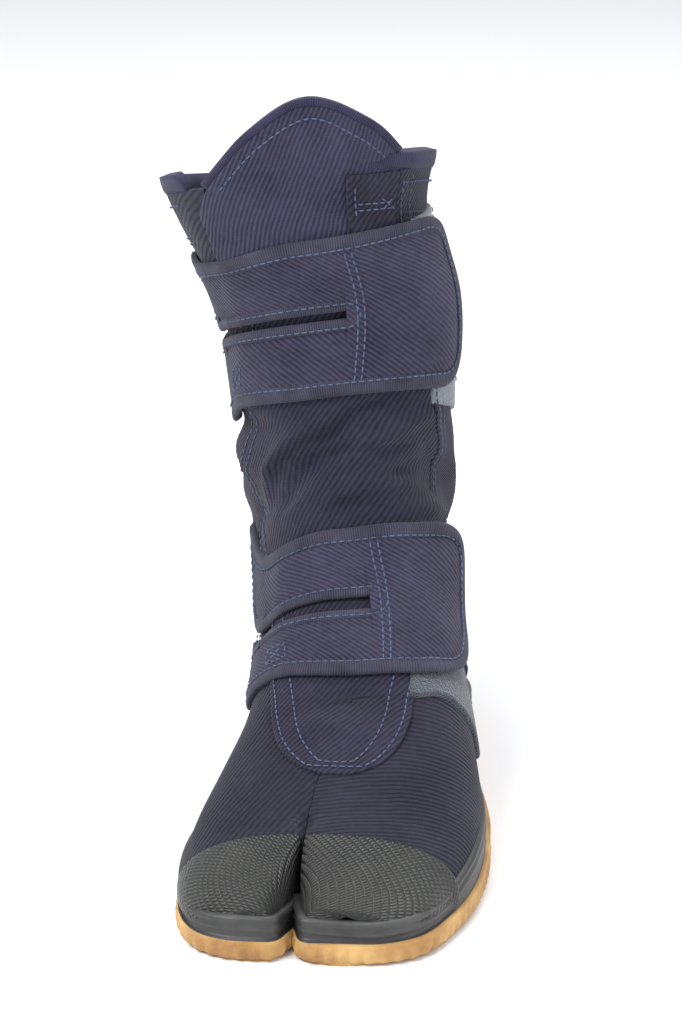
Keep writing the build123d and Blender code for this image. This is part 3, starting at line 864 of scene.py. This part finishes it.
class Strap:
    """A strap's place in the chart: s runs round the leg from its middle line, w up it.

    middle: (s, v) pairs of its middle line
    shear, flare: how its ends lean
    seam, end: s of the tab's stitched line and of the tab's end
    fold, last: s where it leaves its prongs and where they end
    slot_end, slot: s of the slot's blind end, and its height
    half: half its height
    stand, cock: how far the stiff tab's end stands off, and how much more its top does
    """

    def __init__(self, name, middle, shear, flare, seam, end, fold, last, slot_end, slot, half, stand, cock):
        line = curve(middle, 300)
        self.line, self.name = line[np.argsort(line[:, 0])], name
        self.shear, self.flare, self.seam, self.end = shear, flare, seam, end
        self.fold, self.last, self.slot_end, self.slot = fold, last, slot_end, slot
        self.half, self.stand, self.cock = half, stand, cock

    def chart(self, s, w):
        s, w = np.broadcast_arrays(np.asarray(s, float), np.asarray(w, float))
        taper = 1 - 0.13 * smooth((-5 - s) / 40)
        v = np.interp(s, self.line[:, 0], self.line[:, 1]) + w * taper
        lean = self.shear + self.flare * smooth((s - self.seam - 3) / (self.end - self.seam - 3))
        return v, s + lean * w

    def put(self, s, w, h):
        """Points at height h over the strap's underside."""
        v, u = self.chart(s, w)
        return sample(PLACE, v, u) + out_of(v, u) * (self.lift(s, w) + np.asarray(h, float))[..., None]

    def lift(self, s, w):
        """Height of the strap's underside: the cloth bows a little, and the stiff tab stands off."""
        s, w = np.broadcast_arrays(np.asarray(s, float), np.asarray(w, float))
        wave = 0.35 * np.sin(s / 11.0 + w / 17.0) + 0.25 * np.sin(w / 9.0 - s / 19.0)
        top = 1 - self.cock + self.cock * w / self.half
        off = self.stand * smooth((s - self.seam) / (self.end - self.seam)) * top
        return 1.7 + 1.5 * smooth((s - self.fold) / 14) + wave * 0.7 + off

    def row(self, points, n, h=0.0):
        """A line of n points through (s, w) pairs at height h, and its normals."""
        s, w = even(points, n).T
        return self.put(s, w, h), out_of(*self.chart(s, w))

    def middle(self, s):
        return world(self.put(np.array([s]), np.array([0.0]), 1.0)[0])

    def tab_edge(self, inset):
        """The tab's outline, inset from its edge, from its lower corner round its end to its upper."""
        r, inner = TAB_CORNER, TAB_CORNER - inset
        arc = np.linspace(0, math.pi / 2, 9)
        s, w = self.end - r, self.half - r
        low = [(s + inner * math.sin(x), -w - inner * math.cos(x)) for x in arc]
        return low + [(s + inner * math.cos(x), w + inner * math.sin(x)) for x in arc]

    def slot_edge(self, start, out):
        """Round the slot from the strap's fold and back, out from its edge."""
        reach = self.slot / 2 + out
        turn = np.linspace(-math.pi / 2, math.pi / 2, 14)
        end = [(self.slot_end + reach * math.cos(x), reach * math.sin(x)) for x in turn]
        return [(start, -reach)] + end + [(start, reach)]


UPPER = Strap(
    "upper",
    [(-98, 248), (-80, 244.5), (-60, 242.5), (-45, 244), (-14, 249.5), (13, 253.5), (40, 257), (64, 258)],
    shear=0.17, flare=0.0, seam=13.5, end=56.0, fold=-46.0, last=-82.0,
    slot_end=6.5, slot=4.2, half=31.0, stand=4.0, cock=0.28,
)
LOWER = Strap(
    "lower",
    [
        (-92, 176), (-78, 168), (-64, 159), (-50, 149.5), (-34, 142),
        (-19, 138), (0, 138), (18, 142), (32, 147.5), (56, 156),
    ],
    shear=-0.06, flare=0.22, seam=10.5, end=43.0, fold=-38.0, last=-70.0,
    slot_end=4.0, slot=6.4, half=31.0, stand=8.0, cock=0.46,
)


def strap_panel(strap, part, s0, s1, w0, w1, free, corners=False):
    """A padded panel of the strap between two s and two w, with its far corners cut round if asked."""
    s = s0 + (s1 - s0) * stations(abs(s1 - s0), 1.6)
    w = w0 + (w1 - w0) * stations(abs(w1 - w0), 1.6)
    s, w = np.meshgrid(s, w, indexing="xy")
    top, low = w1, w0
    if corners:
        deep = np.clip(s - (s1 - TAB_CORNER), 0, TAB_CORNER)
        pull = TAB_CORNER - np.sqrt(np.maximum(TAB_CORNER**2 - deep**2, 0))
        top, low = w1 - pull, w0 + pull
        w = low + (top - low) * (w - w0) / (w1 - w0)
    edge = {"L": s - s0, "R": s1 - s, "B": w - low, "T": top - w}
    d = np.min([edge[k] for k in free], axis=0)
    h = STRAP_T * rounded(d, 1.4) + 0.55 * rounded(d - 5, 9.0) - dents(d, (ROW_INSET,), 0.25, 0.7)
    outer, inner = strap.put(s, w, h), strap.put(s, w, 0 * h - 0.1)
    return shell(f"{strap.name}_{part}", outer, inner, np.stack([s, w], -1), STRAP_TWILL)


def strap_tape(strap, part, points, n, profile=None):
    line, normal = strap.row(points, n)
    profile = profile or tape_profile(TAPE_W, STRAP_T)
    return sweep(f"{strap.name}_{part}", line, normal, profile, TAPE)


def make_strap(strap):
    """All of one strap: its prongs on the boot, the slotted front, and the fastening tab."""
    name, half, gap = strap.name, strap.half, strap.slot / 2
    start = strap.fold - 6.0  # the front begins over the prongs' ends
    prong_end = strap.fold - 4.5
    behind, ahead = strap.middle(strap.fold - 5.0), strap.middle(strap.fold + 5.0)
    before, after = strap.middle(strap.seam - 2.0), strap.middle(strap.seam + 3.0)

    def bend_strap(piece, node=None):
        if node:
            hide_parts(f"{name}_{node}")
        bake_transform(piece)

    def bend_tab(piece, node=None):
        if node:
            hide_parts(f"{name}_{node}")
        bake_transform(piece)

    # front: two arms and the block between the slot's end and the stitched line
    arms = [
        strap_panel(strap, "arm_top", start, strap.slot_end, gap, half, "TB"),
        strap_panel(strap, "arm_low", start, strap.slot_end, -half, -gap, "TB"),
        strap_panel(strap, "block", strap.slot_end, strap.seam + 0.6, -half, half, "TB"),
    ]
    bend_strap(join(f"{name}_front_cloth", arms), "front")
    top, low = [[(start, w), (strap.seam + 1.0, w)] for w in (half, -half)]
    bend_strap(strap_tape(strap, "front_tape_top", top[::-1], 90), "front_tape_top")
    bend_strap(strap_tape(strap, "front_tape_low", low, 90), "front_tape_bottom")
    slot = strap.slot_edge(start, 0.0)[::-1]
    slim = tape_profile(3.6, STRAP_T, 0.5)
    bend_strap(strap_tape(strap, "slot_tape_cloth", slot, 200, slim), "slot_tape")

    # prongs stay on the boot
    for part, w0, w1, node in (("top", gap, half, "top"), ("low", -half, -gap, "bottom")):
        s0 = strap.last
        body = strap_panel(strap, f"prong_{part}", s0, prong_end, w0, w1, "LTB")
        edge = [(prong_end, w1), (s0 + 3, w1), (s0 + 0.8, w1 - 0.8), (s0, w1 - 3)]
        edge += [(s0, w0 + 3), (s0 + 0.8, w0 + 0.8), (s0 + 3, w0), (prong_end, w0)]
        rim = strap_tape(strap, f"prong_tape_{part}", edge, 130)
        on_boot(body, f"{name}_prong_{node}")
        on_boot(rim)

    # the tab, from the stitched line to its rounded end, with hooks under it
    tab = strap_panel(strap, "tab_cloth", strap.seam, strap.end, -half, half, "RTB", corners=True)
    bend_tab(tab, "tab")
    edge = [(strap.seam, -half)] + strap.tab_edge(0.0) + [(strap.seam, half)]
    bend_tab(strap_tape(strap, "tab_tape_cloth", edge, 200), "tab_tape")
    s = np.linspace(strap.seam + 5, strap.end - 5, 30)
    s, w = np.meshgrid(s, np.linspace(-half + 6, half - 6, 40))
    outer, inner = strap.put(s, w, 0 * s - 0.1), strap.put(s, w, 0 * s - 1.0)
    hooks = shell(f"{name}_hooks", outer, inner, np.stack([s, w], -1), HOOKS)
    bend_tab(hooks, "hook_patch")
    strap_stitches(strap, start, prong_end, bend_strap, bend_tab)


def strap_stitches(strap, start, prong_end, bend_strap, bend_tab):
    """The edge rows, the row round the slot, the double line at the tab, and the crossed boxes."""
    up, low_up = STRAP_T + 0.45, STRAP_T + 0.35
    half, seam, last, inset = strap.half, strap.seam, strap.last, strap.half - ROW_INSET
    lines = [strap.row([(start, w), (seam, w)], 80, up) for w in (inset, -inset)]
    lines.append(strap.row(strap.slot_edge(start, 2.6), 160, up))
    lines += [strap.row([(s, -inset), (s, inset)], 60, low_up) for s in (seam - 0.8, seam - 3.2)]
    x0, x1, y0, y1 = strap.fold + 3, strap.fold + 12, -half + 7.5, -half + 15.5
    a, b, c, d = (x0, y0), (x1, y1), (x0, y1), (x1, y0)
    lines += [strap.row(pair, 12, 2.5) for pair in ((a, b), (c, d), (a, d), (c, b), (a, c), (d, b))]
    bend_strap(stitches(f"{strap.name}_front_stitches", lines))
    edge = [(seam + 1, -inset)] + strap.tab_edge(ROW_INSET) + [(seam + 1, inset)]
    bend_tab(stitches(f"{strap.name}_tab_stitches", [strap.row(edge, 160, up)]))
    lines = []
    for w0, w1 in ((strap.slot / 2, half), (-half, -strap.slot / 2)):
        w0, w1, s = w0 + ROW_INSET, w1 - ROW_INSET, last + ROW_INSET
        lines.append(strap.row([(prong_end, w1), (s, w1), (s, w0), (prong_end, w0)], 60, up))
        lines.append(strap.row([(s, w1), (s + 9, w0)], 20, 2.4))
        lines.append(strap.row([(s, w0), (s + 9, w1)], 20, 2.4))
    on_boot(stitches(f"{strap.name}_prong_stitches", lines))


def make_pile(strap, s0, s1, down, thick, sag, material):
    """The loop pile on the boot that a tab closes on, reaching down below the strap's middle line."""
    s = s0 + (s1 - s0) * stations(s1 - s0, 1.8)
    w = -down + (down + 30) * stations(70, 1.8)
    s, w = np.meshgrid(s, w)
    v, u = strap.chart(s, w)
    v = v - sag * smooth((s - 38) / 10) * (w < 0)
    d = np.min([s - s0, s1 - s, w - w.min(), w.max() - w], axis=0)
    outer, inner = surf(v, u, 1.3 + thick * rounded(d, CLOTH_T)), surf(v, u, 1.0 + 0 * v)
    uv = np.stack([s, w], -1)
    piece = shell(f"{strap.name}_pile", outer, inner, uv, material)
    on_boot(piece, f"{strap.name}_loop_patch")
    s = s1 - 1.8
    vu = strap.chart(*even([(s, -strap.half + 1), (s, strap.half - 1)], 60).T)
    on_boot(stitches(f"{strap.name}_pile_stitches", [on_chart(np.stack(vu, -1), 2.7)]))


# ---------------------------------------------------------------- the upper's other cloth
def make_quarters():
    """The two quarters: from the front opening to the sole and the back, and from the vamp to the collar."""
    v_share, u_share = stations(150, 1.7)[:, None], stations(130, 1.7)
    for side, name, front, lap in ((-1, "medial", APRON_LEFT, 5.0), (1, "lateral", APRON_RIGHT, 0.5)):

        def spread(v):
            """The front edge of each row, and its points from there to the sole or the back."""
            start = front(v[:, :1]) + lap
            return start, start + (side * sole_u(v[:, -1], side)[:, None] - start) * u_share

        _, u = spread(V_QUARTER + (300 - V_QUARTER) * v_share)
        v = V_QUARTER + (np.interp(u, RIM_U, RIM_V) - V_QUARTER) * v_share
        start, u = spread(v)
        d = v - V_QUARTER
        base = 1.15 * smooth(1 - d / 10)  # over the vamp near the lower seam
        if side > 0:
            d_front = np.abs(u - start)
            base = base + 1.3 * smooth(1 - d_front / 12)
            d = np.minimum(d, d_front)
        h = base + CLOTH_T * rounded(d, CLOTH_T) - dents(d, (2.6, 8.2))
        outer, inner = surf(v, u, h), surf(v, u, base - 0.1)
        uv = wrap_uv(outer)
        if side < 0:
            outer, inner, uv = outer[:, ::-1], inner[:, ::-1], uv[:, ::-1]
        piece = shell(f"quarter_{name}_cloth", outer, inner, uv, BODY_TWILL)
        on_boot(piece, f"quarter_{name}")


def make_front():
    """The apron and shaft front in one, and the outer quarter's corner that laps over the tongue."""
    apron = panel(
        "apron_cloth", APRON_FOOT + 0.6, 279.0, APRON_LEFT, apron_right, APRON_TWILL,
        thick=CLOTH_T, base=1.25, rows=(2.4, 8.6), step=1.7, free="LB",
    )
    on_boot(apron, "front_panel")
    flap = panel(
        "collar_flap_cloth", 278.0, V_FLAP, FLAP_INNER, apron_right, BODY_TWILL,
        thick=1.4, base=2.7, rows=(2.6,), step=1.5, free="LT",
    )
    on_boot(flap)


def bend_tongue(piece):
    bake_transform(piece)


def make_tongue():
    outline = [chart_xz(*p) for p in ((16, 238.5), (6, 250), (-14, 258.5), (-35, 246), (-51.6, 225.4))]
    line = curve(outline, 200)
    apex = int(line[:, 0].argmax())
    right, left = line[: apex + 1], line[apex:][::-1]
    foot = 266.0  # the tongue goes down behind the strap to this v
    right = np.vstack([[foot, 35.0], [FOLD_V, right[0, 1] - 1.0], right])
    left = np.vstack([[foot, -33.0], [FOLD_V - 2, -36.5], left])
    piece = panel(
        "tongue_cloth", foot, float(line[apex, 0]) - 0.15, follow(left), follow(right), TONGUE_TWILL,
        thick=1.8, base=lambda v: -0.3 + 2.1 * smooth((284 - v) / 10), rows=(3.4,), step=1.5,
        free="LRT", folds=0.6, swell=0.5,
    )
    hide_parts("tongue_top")
    bend_tongue(piece)
    points, normals = on_chart(line[::-1], -0.3, 0.5, 140)
    edge = sweep("tongue_edge", points, normals, tape_profile(2.6, 1.8, 0.25), HEM_TAPE)
    bend_tongue(edge)


def make_lining():
    """A tube with its own thickness, from behind the toes up to just under the collar."""
    depth = 3.9
    low_rows, high_rows, columns = 60, 90, 180
    low_ts = np.linspace(4.1, 8, low_rows)
    angles = np.linspace(-math.pi, math.pi, columns + 1)[:-1]
    climb = np.linspace(8, 14.0, 260)
    outer = np.zeros((low_rows + high_rows, columns, 3))
    for j, angle in enumerate(angles):
        above = above_rim(form(climb, angle, -depth)[:, 0], 226.4) > 0
        t_top = climb[int(np.argmax(above))]
        own = np.concatenate([low_ts, np.linspace(8.05, t_top, high_rows)])
        outer[:, j] = form(own, angle, -depth)[:, 0]
    inner = outer + unit(outer.mean(axis=1, keepdims=True) - outer)
    outer[..., 2] = np.maximum(outer[..., 2], 8.7)
    inner[..., 2] = np.maximum(inner[..., 2], 9.6)
    ts = np.concatenate([low_ts, np.linspace(8.05, 12.9, high_rows)])
    rows_v = np.interp(ts, T_OF_V, np.arange(V_MAX + 1))
    uv = both(angles[None, :] / math.pi * 150.0, rows_v[:, None]).reshape(-1, 2)
    n, total = len(outer), len(outer) * columns
    faces = quads(n, columns, wrap=True) + quads(n, columns, total, flip=True, wrap=True)
    for i in (0, n - 1):
        for j in range(columns):
            a, b = i * columns + j, i * columns + (j + 1) % columns
            quad = [a, b, b + total, a + total]
            faces.append(quad[::-1] if i == 0 else quad)
    points = np.concatenate([outer.reshape(-1, 3), inner.reshape(-1, 3)])
    piece = new_mesh("lining", points, faces, np.concatenate([uv, uv]), LINING)
    on_boot(piece, "vamp_lining", "shaft_lining", "heel_stiffener", "facing_medial", "facing_lateral")


HEM_PROFILE = (
    (6.5, -2.1), (6.5, -2.5), (3, -2.5), (0.6, -2.1), (-0.4, -1.2), (-0.8, 0.1),
    (-0.3, 1.2), (1.2, 1.7), (4.0, 1.7), (6.5, 1.35), (6.5, 0.9),
)


def make_collar():
    """The folded hem of the collar, from the inner wing round the back to the free flap, and its rows."""
    n = 260
    u = np.concatenate([np.linspace(-40, -172, 90), np.linspace(172, 21.5, 110)])
    v = np.interp(u, RIM_U, RIM_V)
    points = even(surf(v, u, 0.2), n)
    normals = read_at(np.linspace(0, 1, n), np.linspace(0, 1, len(u)), out_of(v, u))
    ends = np.minimum(np.arange(n), np.arange(n)[::-1]) / 5.0
    size = 0.15 + 0.85 * rounded(ends, 1.0)
    profile = np.array(HEM_PROFILE)[None] * size[:, None, None]
    hem = sweep("collar_hem_cloth", points, normals, profile, HEM_TAPE)
    on_boot(hem, "collar_hem")
    lines = []
    for down, height in ((5.0, 1.75), (17.0, 1.15), (19.2, 1.15)):
        for part in (u < -47, u > 0):
            vu = np.stack([(v - down)[part], u[part]], -1)
            lines.append(on_chart(vu, height))
    on_boot(stitches("collar_stitches", lines))


def make_back():
    """The stay over the back seam, tapered upward, and its two rows."""
    ts = np.linspace(8, 14.5, 500)
    t = np.interp(np.linspace(50, 210, 120), form(ts, math.pi)[:, 0, 2], ts)
    points = form(t, math.pi, 1.1)[:, 0]
    along = np.gradient(points, axis=0)
    normals = unit(np.stack([np.zeros(len(points)), along[:, 2], -along[:, 1]], -1))
    width = 8.5 - 2.5 * np.linspace(0, 1, len(points)) ** 2
    width *= np.sqrt(np.minimum(1, (np.arange(len(points)) + 2) / 7))
    ridge = [((-w, 0.1), (-w, 1), (1 - w, 1.3), (0, 1.5), (w - 1, 1.3), (w, 1), (w, 0.1)) for w in width]
    strip = sweep("back_stay_cloth", points, normals, ridge, APRON_TWILL)
    on_boot(strip, "back_stay")
    lines = []
    for sign in (-1, 1):
        edge = points + normals * 1.35
        edge[:, 0] += sign * (width - 1.9)
        lines.append((edge[3:], normals[3:]))
    on_boot(stitches("back_stay_stitches", lines))


# ---------------------------------------------------------------- rubber round the foot
def side_outline(side, z):
    """The plan outline of one side of the foot at a height, from the toe to the heel."""
    a = np.linspace(0, math.pi, 500) * side
    found = []
    for t in np.linspace(0.02, 8.99, 420):
        line = form(t, a)[0]
        above = line[:, 2] > z
        k = int(np.argmax(~above))
        if above[0] and k:
            f = (line[k - 1, 2] - z) / (line[k - 1, 2] - line[k, 2])
            found.append(line[k - 1, :2] * (1 - f) + line[k, :2] * f)
    return np.array(found)


def make_ring():
    """The line that the foxing follows, from the heel round the outside, with a V between the toes."""
    outer, inner = side_outline(1, 14.5), side_outline(-1, 14.5)
    root = -113.0
    wall_y = np.linspace(-130.4, root, 30)
    half = 5.6 * smooth((root - wall_y) / 20) ** 0.9
    middle = cleft_x(wall_y)
    right_wall, left_wall = both(middle + half, wall_y), both(middle - half, wall_y)
    outer = outer[outer[:, 0] > cleft_x(outer[:, 1]) + 6.5]
    inner = inner[inner[:, 0] < cleft_x(inner[:, 1]) - 6.5]
    back = [(0.0, 133.2)]
    loop = even(np.vstack([back, outer[::-1], right_wall, left_wall[::-1], inner, back]), 1200)[:-1]
    step = np.linalg.norm(loop[1] - loop[0])
    loop = smear(loop, bell(int(6 / step), step, 1.7), "wrap")
    t = unit(np.roll(loop, -1, 0) - np.roll(loop, 1, 0))
    n = np.stack([t[:, 1], -t[:, 0]], -1)
    return loop, n if (n * loop).sum() > 0 else -n, step


def band(name, loop, normal, profile, material):
    """A closed band: each profile point is an outward distance and a height, or arrays of them."""
    rings = []
    for off, z in profile:
        off, z = np.broadcast_to(off, len(loop)), np.broadcast_to(z, len(loop))
        rings.append(np.column_stack([loop + normal * off[:, None], z]))
    grid = np.stack(rings, 1)
    grid = np.concatenate([grid, grid[:1]])
    n, k = grid.shape[:2]
    run = np.arange(n) * np.linalg.norm(loop[1] - loop[0])
    uv = both(run[:, None], distances(grid[0])[None, :])
    return new_mesh(name, grid, quads(n, k, wrap=True, flip=True), uv, material)


def make_rubber():
    """The foxing with its bead, and the serrated edge of the sole."""
    loop, normal, step = make_ring()
    run = np.arange(len(loop)) * step
    x, y = loop.T
    sway = 0.5 * np.sin(run / 17.0) + 0.35 * np.sin(run / 7.3 + 1.0)
    front = smooth((-y - 96) / 20)
    lateral = smooth((x + 8) / 10) * smooth((70 - y) / 40)
    top = 18.2 + sway + 1.6 * lateral * smooth((y + 110) / 60) - 2.2 * front + 1.5 * smooth((y - 60) / 40)
    bead = 0.42 + 0.25 * lateral
    profile = [
        (-3.0, top - 1.2), (0.2, top + 0.1), (1.5, top), (2.35, top - 0.6), (2.55, top - 1.4),
        (2.2, top - 2.1), (2.1, top - 2.9), (2.1 + bead, top - 3.5), (2.2 + bead, top - 4.3),
        (2.1 + bead * 0.6, top - 5.0), (2.0, top - 5.7), (2.3, top - 8.0), (2.7, 8.6), (2.7, 7.2),
        (-3.0, 7.2),
    ]
    piece = band("foxing_rubber_band", loop, normal, profile, FOX_RUBBER)
    on_boot(piece, "foxing")
    wave = np.sin(run * 2 * math.pi / 4.6)
    teeth = 0.45 * np.sign(wave) * np.abs(wave) ** 0.5
    out = 2.9 + 1.1 * lateral
    profile = [
        (-3.0, 7.9), (out - 1.2, 8.1 + 0.25 * sway), (out - 0.2, 7.8 + 0.25 * sway),
        (out + 0.25, 7.0), (out + 0.1, 6.2), (out + 0.2 + teeth * 0.4, 5.6),
        (out + 0.35 + teeth, 4.6), (out + 0.25 + teeth, 2.6), (out - 0.3 + teeth * 0.7, 1.3),
        (out - 1.6, 0.55), (-1.0, 0.5), (-3.0, 1.2),
    ]
    on_boot(band("sole_edge_rubber", loop, normal, profile, GUM))


def make_heel_cap():
    """The rubber cap over the back of the heel, lower towards its sides."""
    rows, columns, foot = 44, 96, 9.0
    angle = np.linspace(-1, 1, columns)
    steps = stations(40, 1.05)
    steps = steps[np.linspace(0, len(steps) - 1, rows).astype(int)]
    ts = np.linspace(8.3, 9.45, 240)
    inner, outer = np.zeros((rows, columns, 3)), np.zeros((rows, columns, 3))
    for j, share in enumerate(angle):
        a = math.pi + share * 1.35
        near, wide = form(ts, a, 1.0)[:, 0], form(ts, a, 2.7)[:, 0]
        z = foot + (45 - 17 * share**2 - foot) * steps
        order = np.argsort(near[:, 2])
        height = near[order, 2]
        inner[:, j], outer[:, j] = read_at(z, height, near[order]), read_at(z, height, wide[order])
    d = np.minimum(outer[-1:, :, 2] - outer[:, :, 2], (1 - np.abs(angle))[None, :] * 60)
    outer = inner + (outer - inner) * (0.1 + 0.9 * rounded(d, 1.8))[..., None]
    uv = both(angle[None, :] * 62.0, outer[..., 2])
    on_boot(shell("heel_cap_rubber", outer, inner, uv, FOX_RUBBER), "heel_cap")


LINER_Y = (-125, -100, -40, 40, 100, 128)
LINER_INNER = (-40, -44, -36, -27, -27, -18)
LINER_OUTER = (20, 36, 44, 35, 27, 18)


def make_insole():
    low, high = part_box("sock_liner")
    low, high = np.array(low) / MM - SHIFT, np.array(high) / MM - SHIFT
    share = np.linspace(-1, 1, 40)
    y = np.linspace(-80.0, high[1] - 1, 120)[:, None]
    end = 0.35 + 0.65 * smooth(np.minimum(y + 82.0, high[1] - y) / 22) ** 0.5
    x0, x1 = np.interp(y, LINER_Y, LINER_INNER) * end, np.interp(y, LINER_Y, LINER_OUTER) * end
    x = (x0 + x1) / 2 + (x1 - x0) / 2 * share
    z = high[2] - 0.4 + 1.2 * share**4 + 0.3 * np.sin(y / 15.0)
    grid = np.stack(np.broadcast_arrays(x, y, z), -1)
    under = grid.copy()
    under[..., 2] = low[2] + 0.2
    piece = shell("sock_liner_cloth", grid, under, grid[..., :2], LINING)
    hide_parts("sock_liner")
    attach(piece, "boot")


def make_body_stitches():
    """The rows of the apron, front seam, lower seams, collar flap and tongue."""
    lines = []
    v = np.linspace(APRON_FOOT + 4.5, 277.0, 200)
    right_v = v[v < chart_xy(29, -20)[0]]
    for inset in (2.4, 8.6):
        left = np.stack([v, APRON_LEFT(v) + inset], -1)
        right = np.stack([right_v, apron_right(right_v) - inset], -1)
        left = left[left[:, 1] < -4 - inset * 0.3]
        right = right[right[:, 1] > 2 + inset * 0.3]
        low = (left[0] + right[0]) / 2 - (0.8, 0)
        arc = curve([left[3], left[0], low, right[0], right[3]], 40)[6:-6]
        lines += [on_chart(left, 2.45), on_chart(right, 2.45), on_chart(arc, 2.4)]
    side = np.linspace(V_QUARTER + 6, V_FLAP - 3, 160)
    for inset, height in ((2.6, 2.65), (8.2, 2.1)):
        lines.append(on_chart(np.stack([side, APRON_RIGHT(side) + 0.5 + inset], -1), height))
    for inset in (2.6, 8.2):
        v = V_QUARTER + inset
        for sign, edge in ((-1, APRON_LEFT), (1, APRON_RIGHT)):
            start = float(edge(V_QUARTER)) + sign * 3
            u = np.linspace(start, sign * (float(sole_u(v, sign)[0]) - 6), 90)
            lines.append(on_chart(both(v, u), 2.35))
    flap = np.linspace(FOLD_V, V_FLAP - 3, 20)
    lines.append(on_chart(np.stack([flap, FLAP_INNER(flap) + 2.6], -1), 4.1))
    lines += [on_chart([(height, 24.0), (height, 39.0)], 4.1, n=20) for height in (294.5, 297.0)]
    for a, b in ((294.0, 299.0), (299.0, 294.0)):
        lines.append(on_chart([(a, 33.0), (b, 38.0)], 4.2, n=10))
    on_boot(stitches("body_stitches", lines))
    tongue = [chart_xz(*p) for p in ((12, 237), (3, 246), (-14, 254), (-32, 242.5), (-46, 226))]
    bend_tongue(stitches("tongue_stitches", [on_chart(curve(tongue, 80), 1.75, 0.5)]))


# ---------------------------------------------------------------- room
def look_along(thing, way):
    thing.rotation_euler = Vector(way).to_track_quat("-Z", "Y").to_euler()
    bpy.context.scene.collection.objects.link(thing)


def make_room():
    """A pale floor, soft light and an even sky."""
    floor = bpy.data.meshes.new("floor")
    floor.from_pydata([(-9, -9, 0), (9, -9, 0), (9, 12, 0), (-9, 12, 0)], [], [(0, 1, 2, 3)])
    ground = bpy.data.objects.new("floor", floor)
    bpy.context.scene.collection.objects.link(ground)
    pale = bpy.data.materials.new("floor")
    pale.use_nodes = True
    shader = pale.node_tree.nodes["Principled BSDF"]
    shader.inputs["Base Color"].default_value = (0.86, 0.86, 0.87, 1)
    shader.inputs["Roughness"].default_value = 0.8
    floor.materials.append(pale)
    sky = bpy.data.worlds.new("sky")
    sky.use_nodes = True
    background = sky.node_tree.nodes["Background"]
    background.inputs[0].default_value = (0.95, 0.97, 1.0, 1)
    background.inputs[1].default_value = 0.75
    bpy.context.scene.world = sky
    bpy.context.scene.view_settings.view_transform = "Standard"
    for name, place, size, watts in (
        ("key", (-0.8, -0.8, 1.5), 0.9, 30),
        ("fill", (1.3, -0.9, 0.8), 1.2, 9),
        ("top", (0.2, 0.6, 1.6), 1.0, 16),
    ):
        data = bpy.data.lights.new(name, "AREA")
        data.size, data.energy = size, watts
        lamp = bpy.data.objects.new(name, data)
        lamp.location = place
        look_along(lamp, np.array((0, 0, 0.1)) - np.array(place))


def make_camera():
    """The photograph's viewpoint: in front and above, a little to the outer side, looking down."""
    data = bpy.data.cameras.new("camera")
    data.sensor_fit, data.sensor_height, data.lens = "VERTICAL", 24.0, 61.52
    data.clip_start, data.clip_end = 0.05, 60
    camera = bpy.data.objects.new("camera", data)
    turn, away, high, tilt = math.radians(3.0), 901.0, 438.0, math.radians(19.9)
    camera.location = world((math.sin(turn) * away, -math.cos(turn) * away, high))
    face = math.radians(3.1)
    level = math.cos(tilt)
    look_along(camera, (-math.sin(face) * level, math.cos(face) * level, -math.sin(tilt)))
    bpy.context.scene.camera = camera


make_vamp()
make_toe_caps()
make_quarters()
make_front()
make_tongue()
make_lining()
make_collar()
make_back()
make_rubber()
make_heel_cap()
make_insole()
make_pile(UPPER, 43.0, 80.0, 38.0, 1.3, 0.0, PALE_PILE)
make_pile(LOWER, 17.0, 70.0, 41.0, 1.7, 1.0, TEAL_PILE)
for strap in (UPPER, LOWER):
    make_strap(strap)
make_body_stitches()
for node, material in (("outsole", GUM), ("insole_board", BOARD)):
    frame["nodes"][node].data.materials.clear()
    frame["nodes"][node].data.materials.append(material)
make_room()
make_camera()
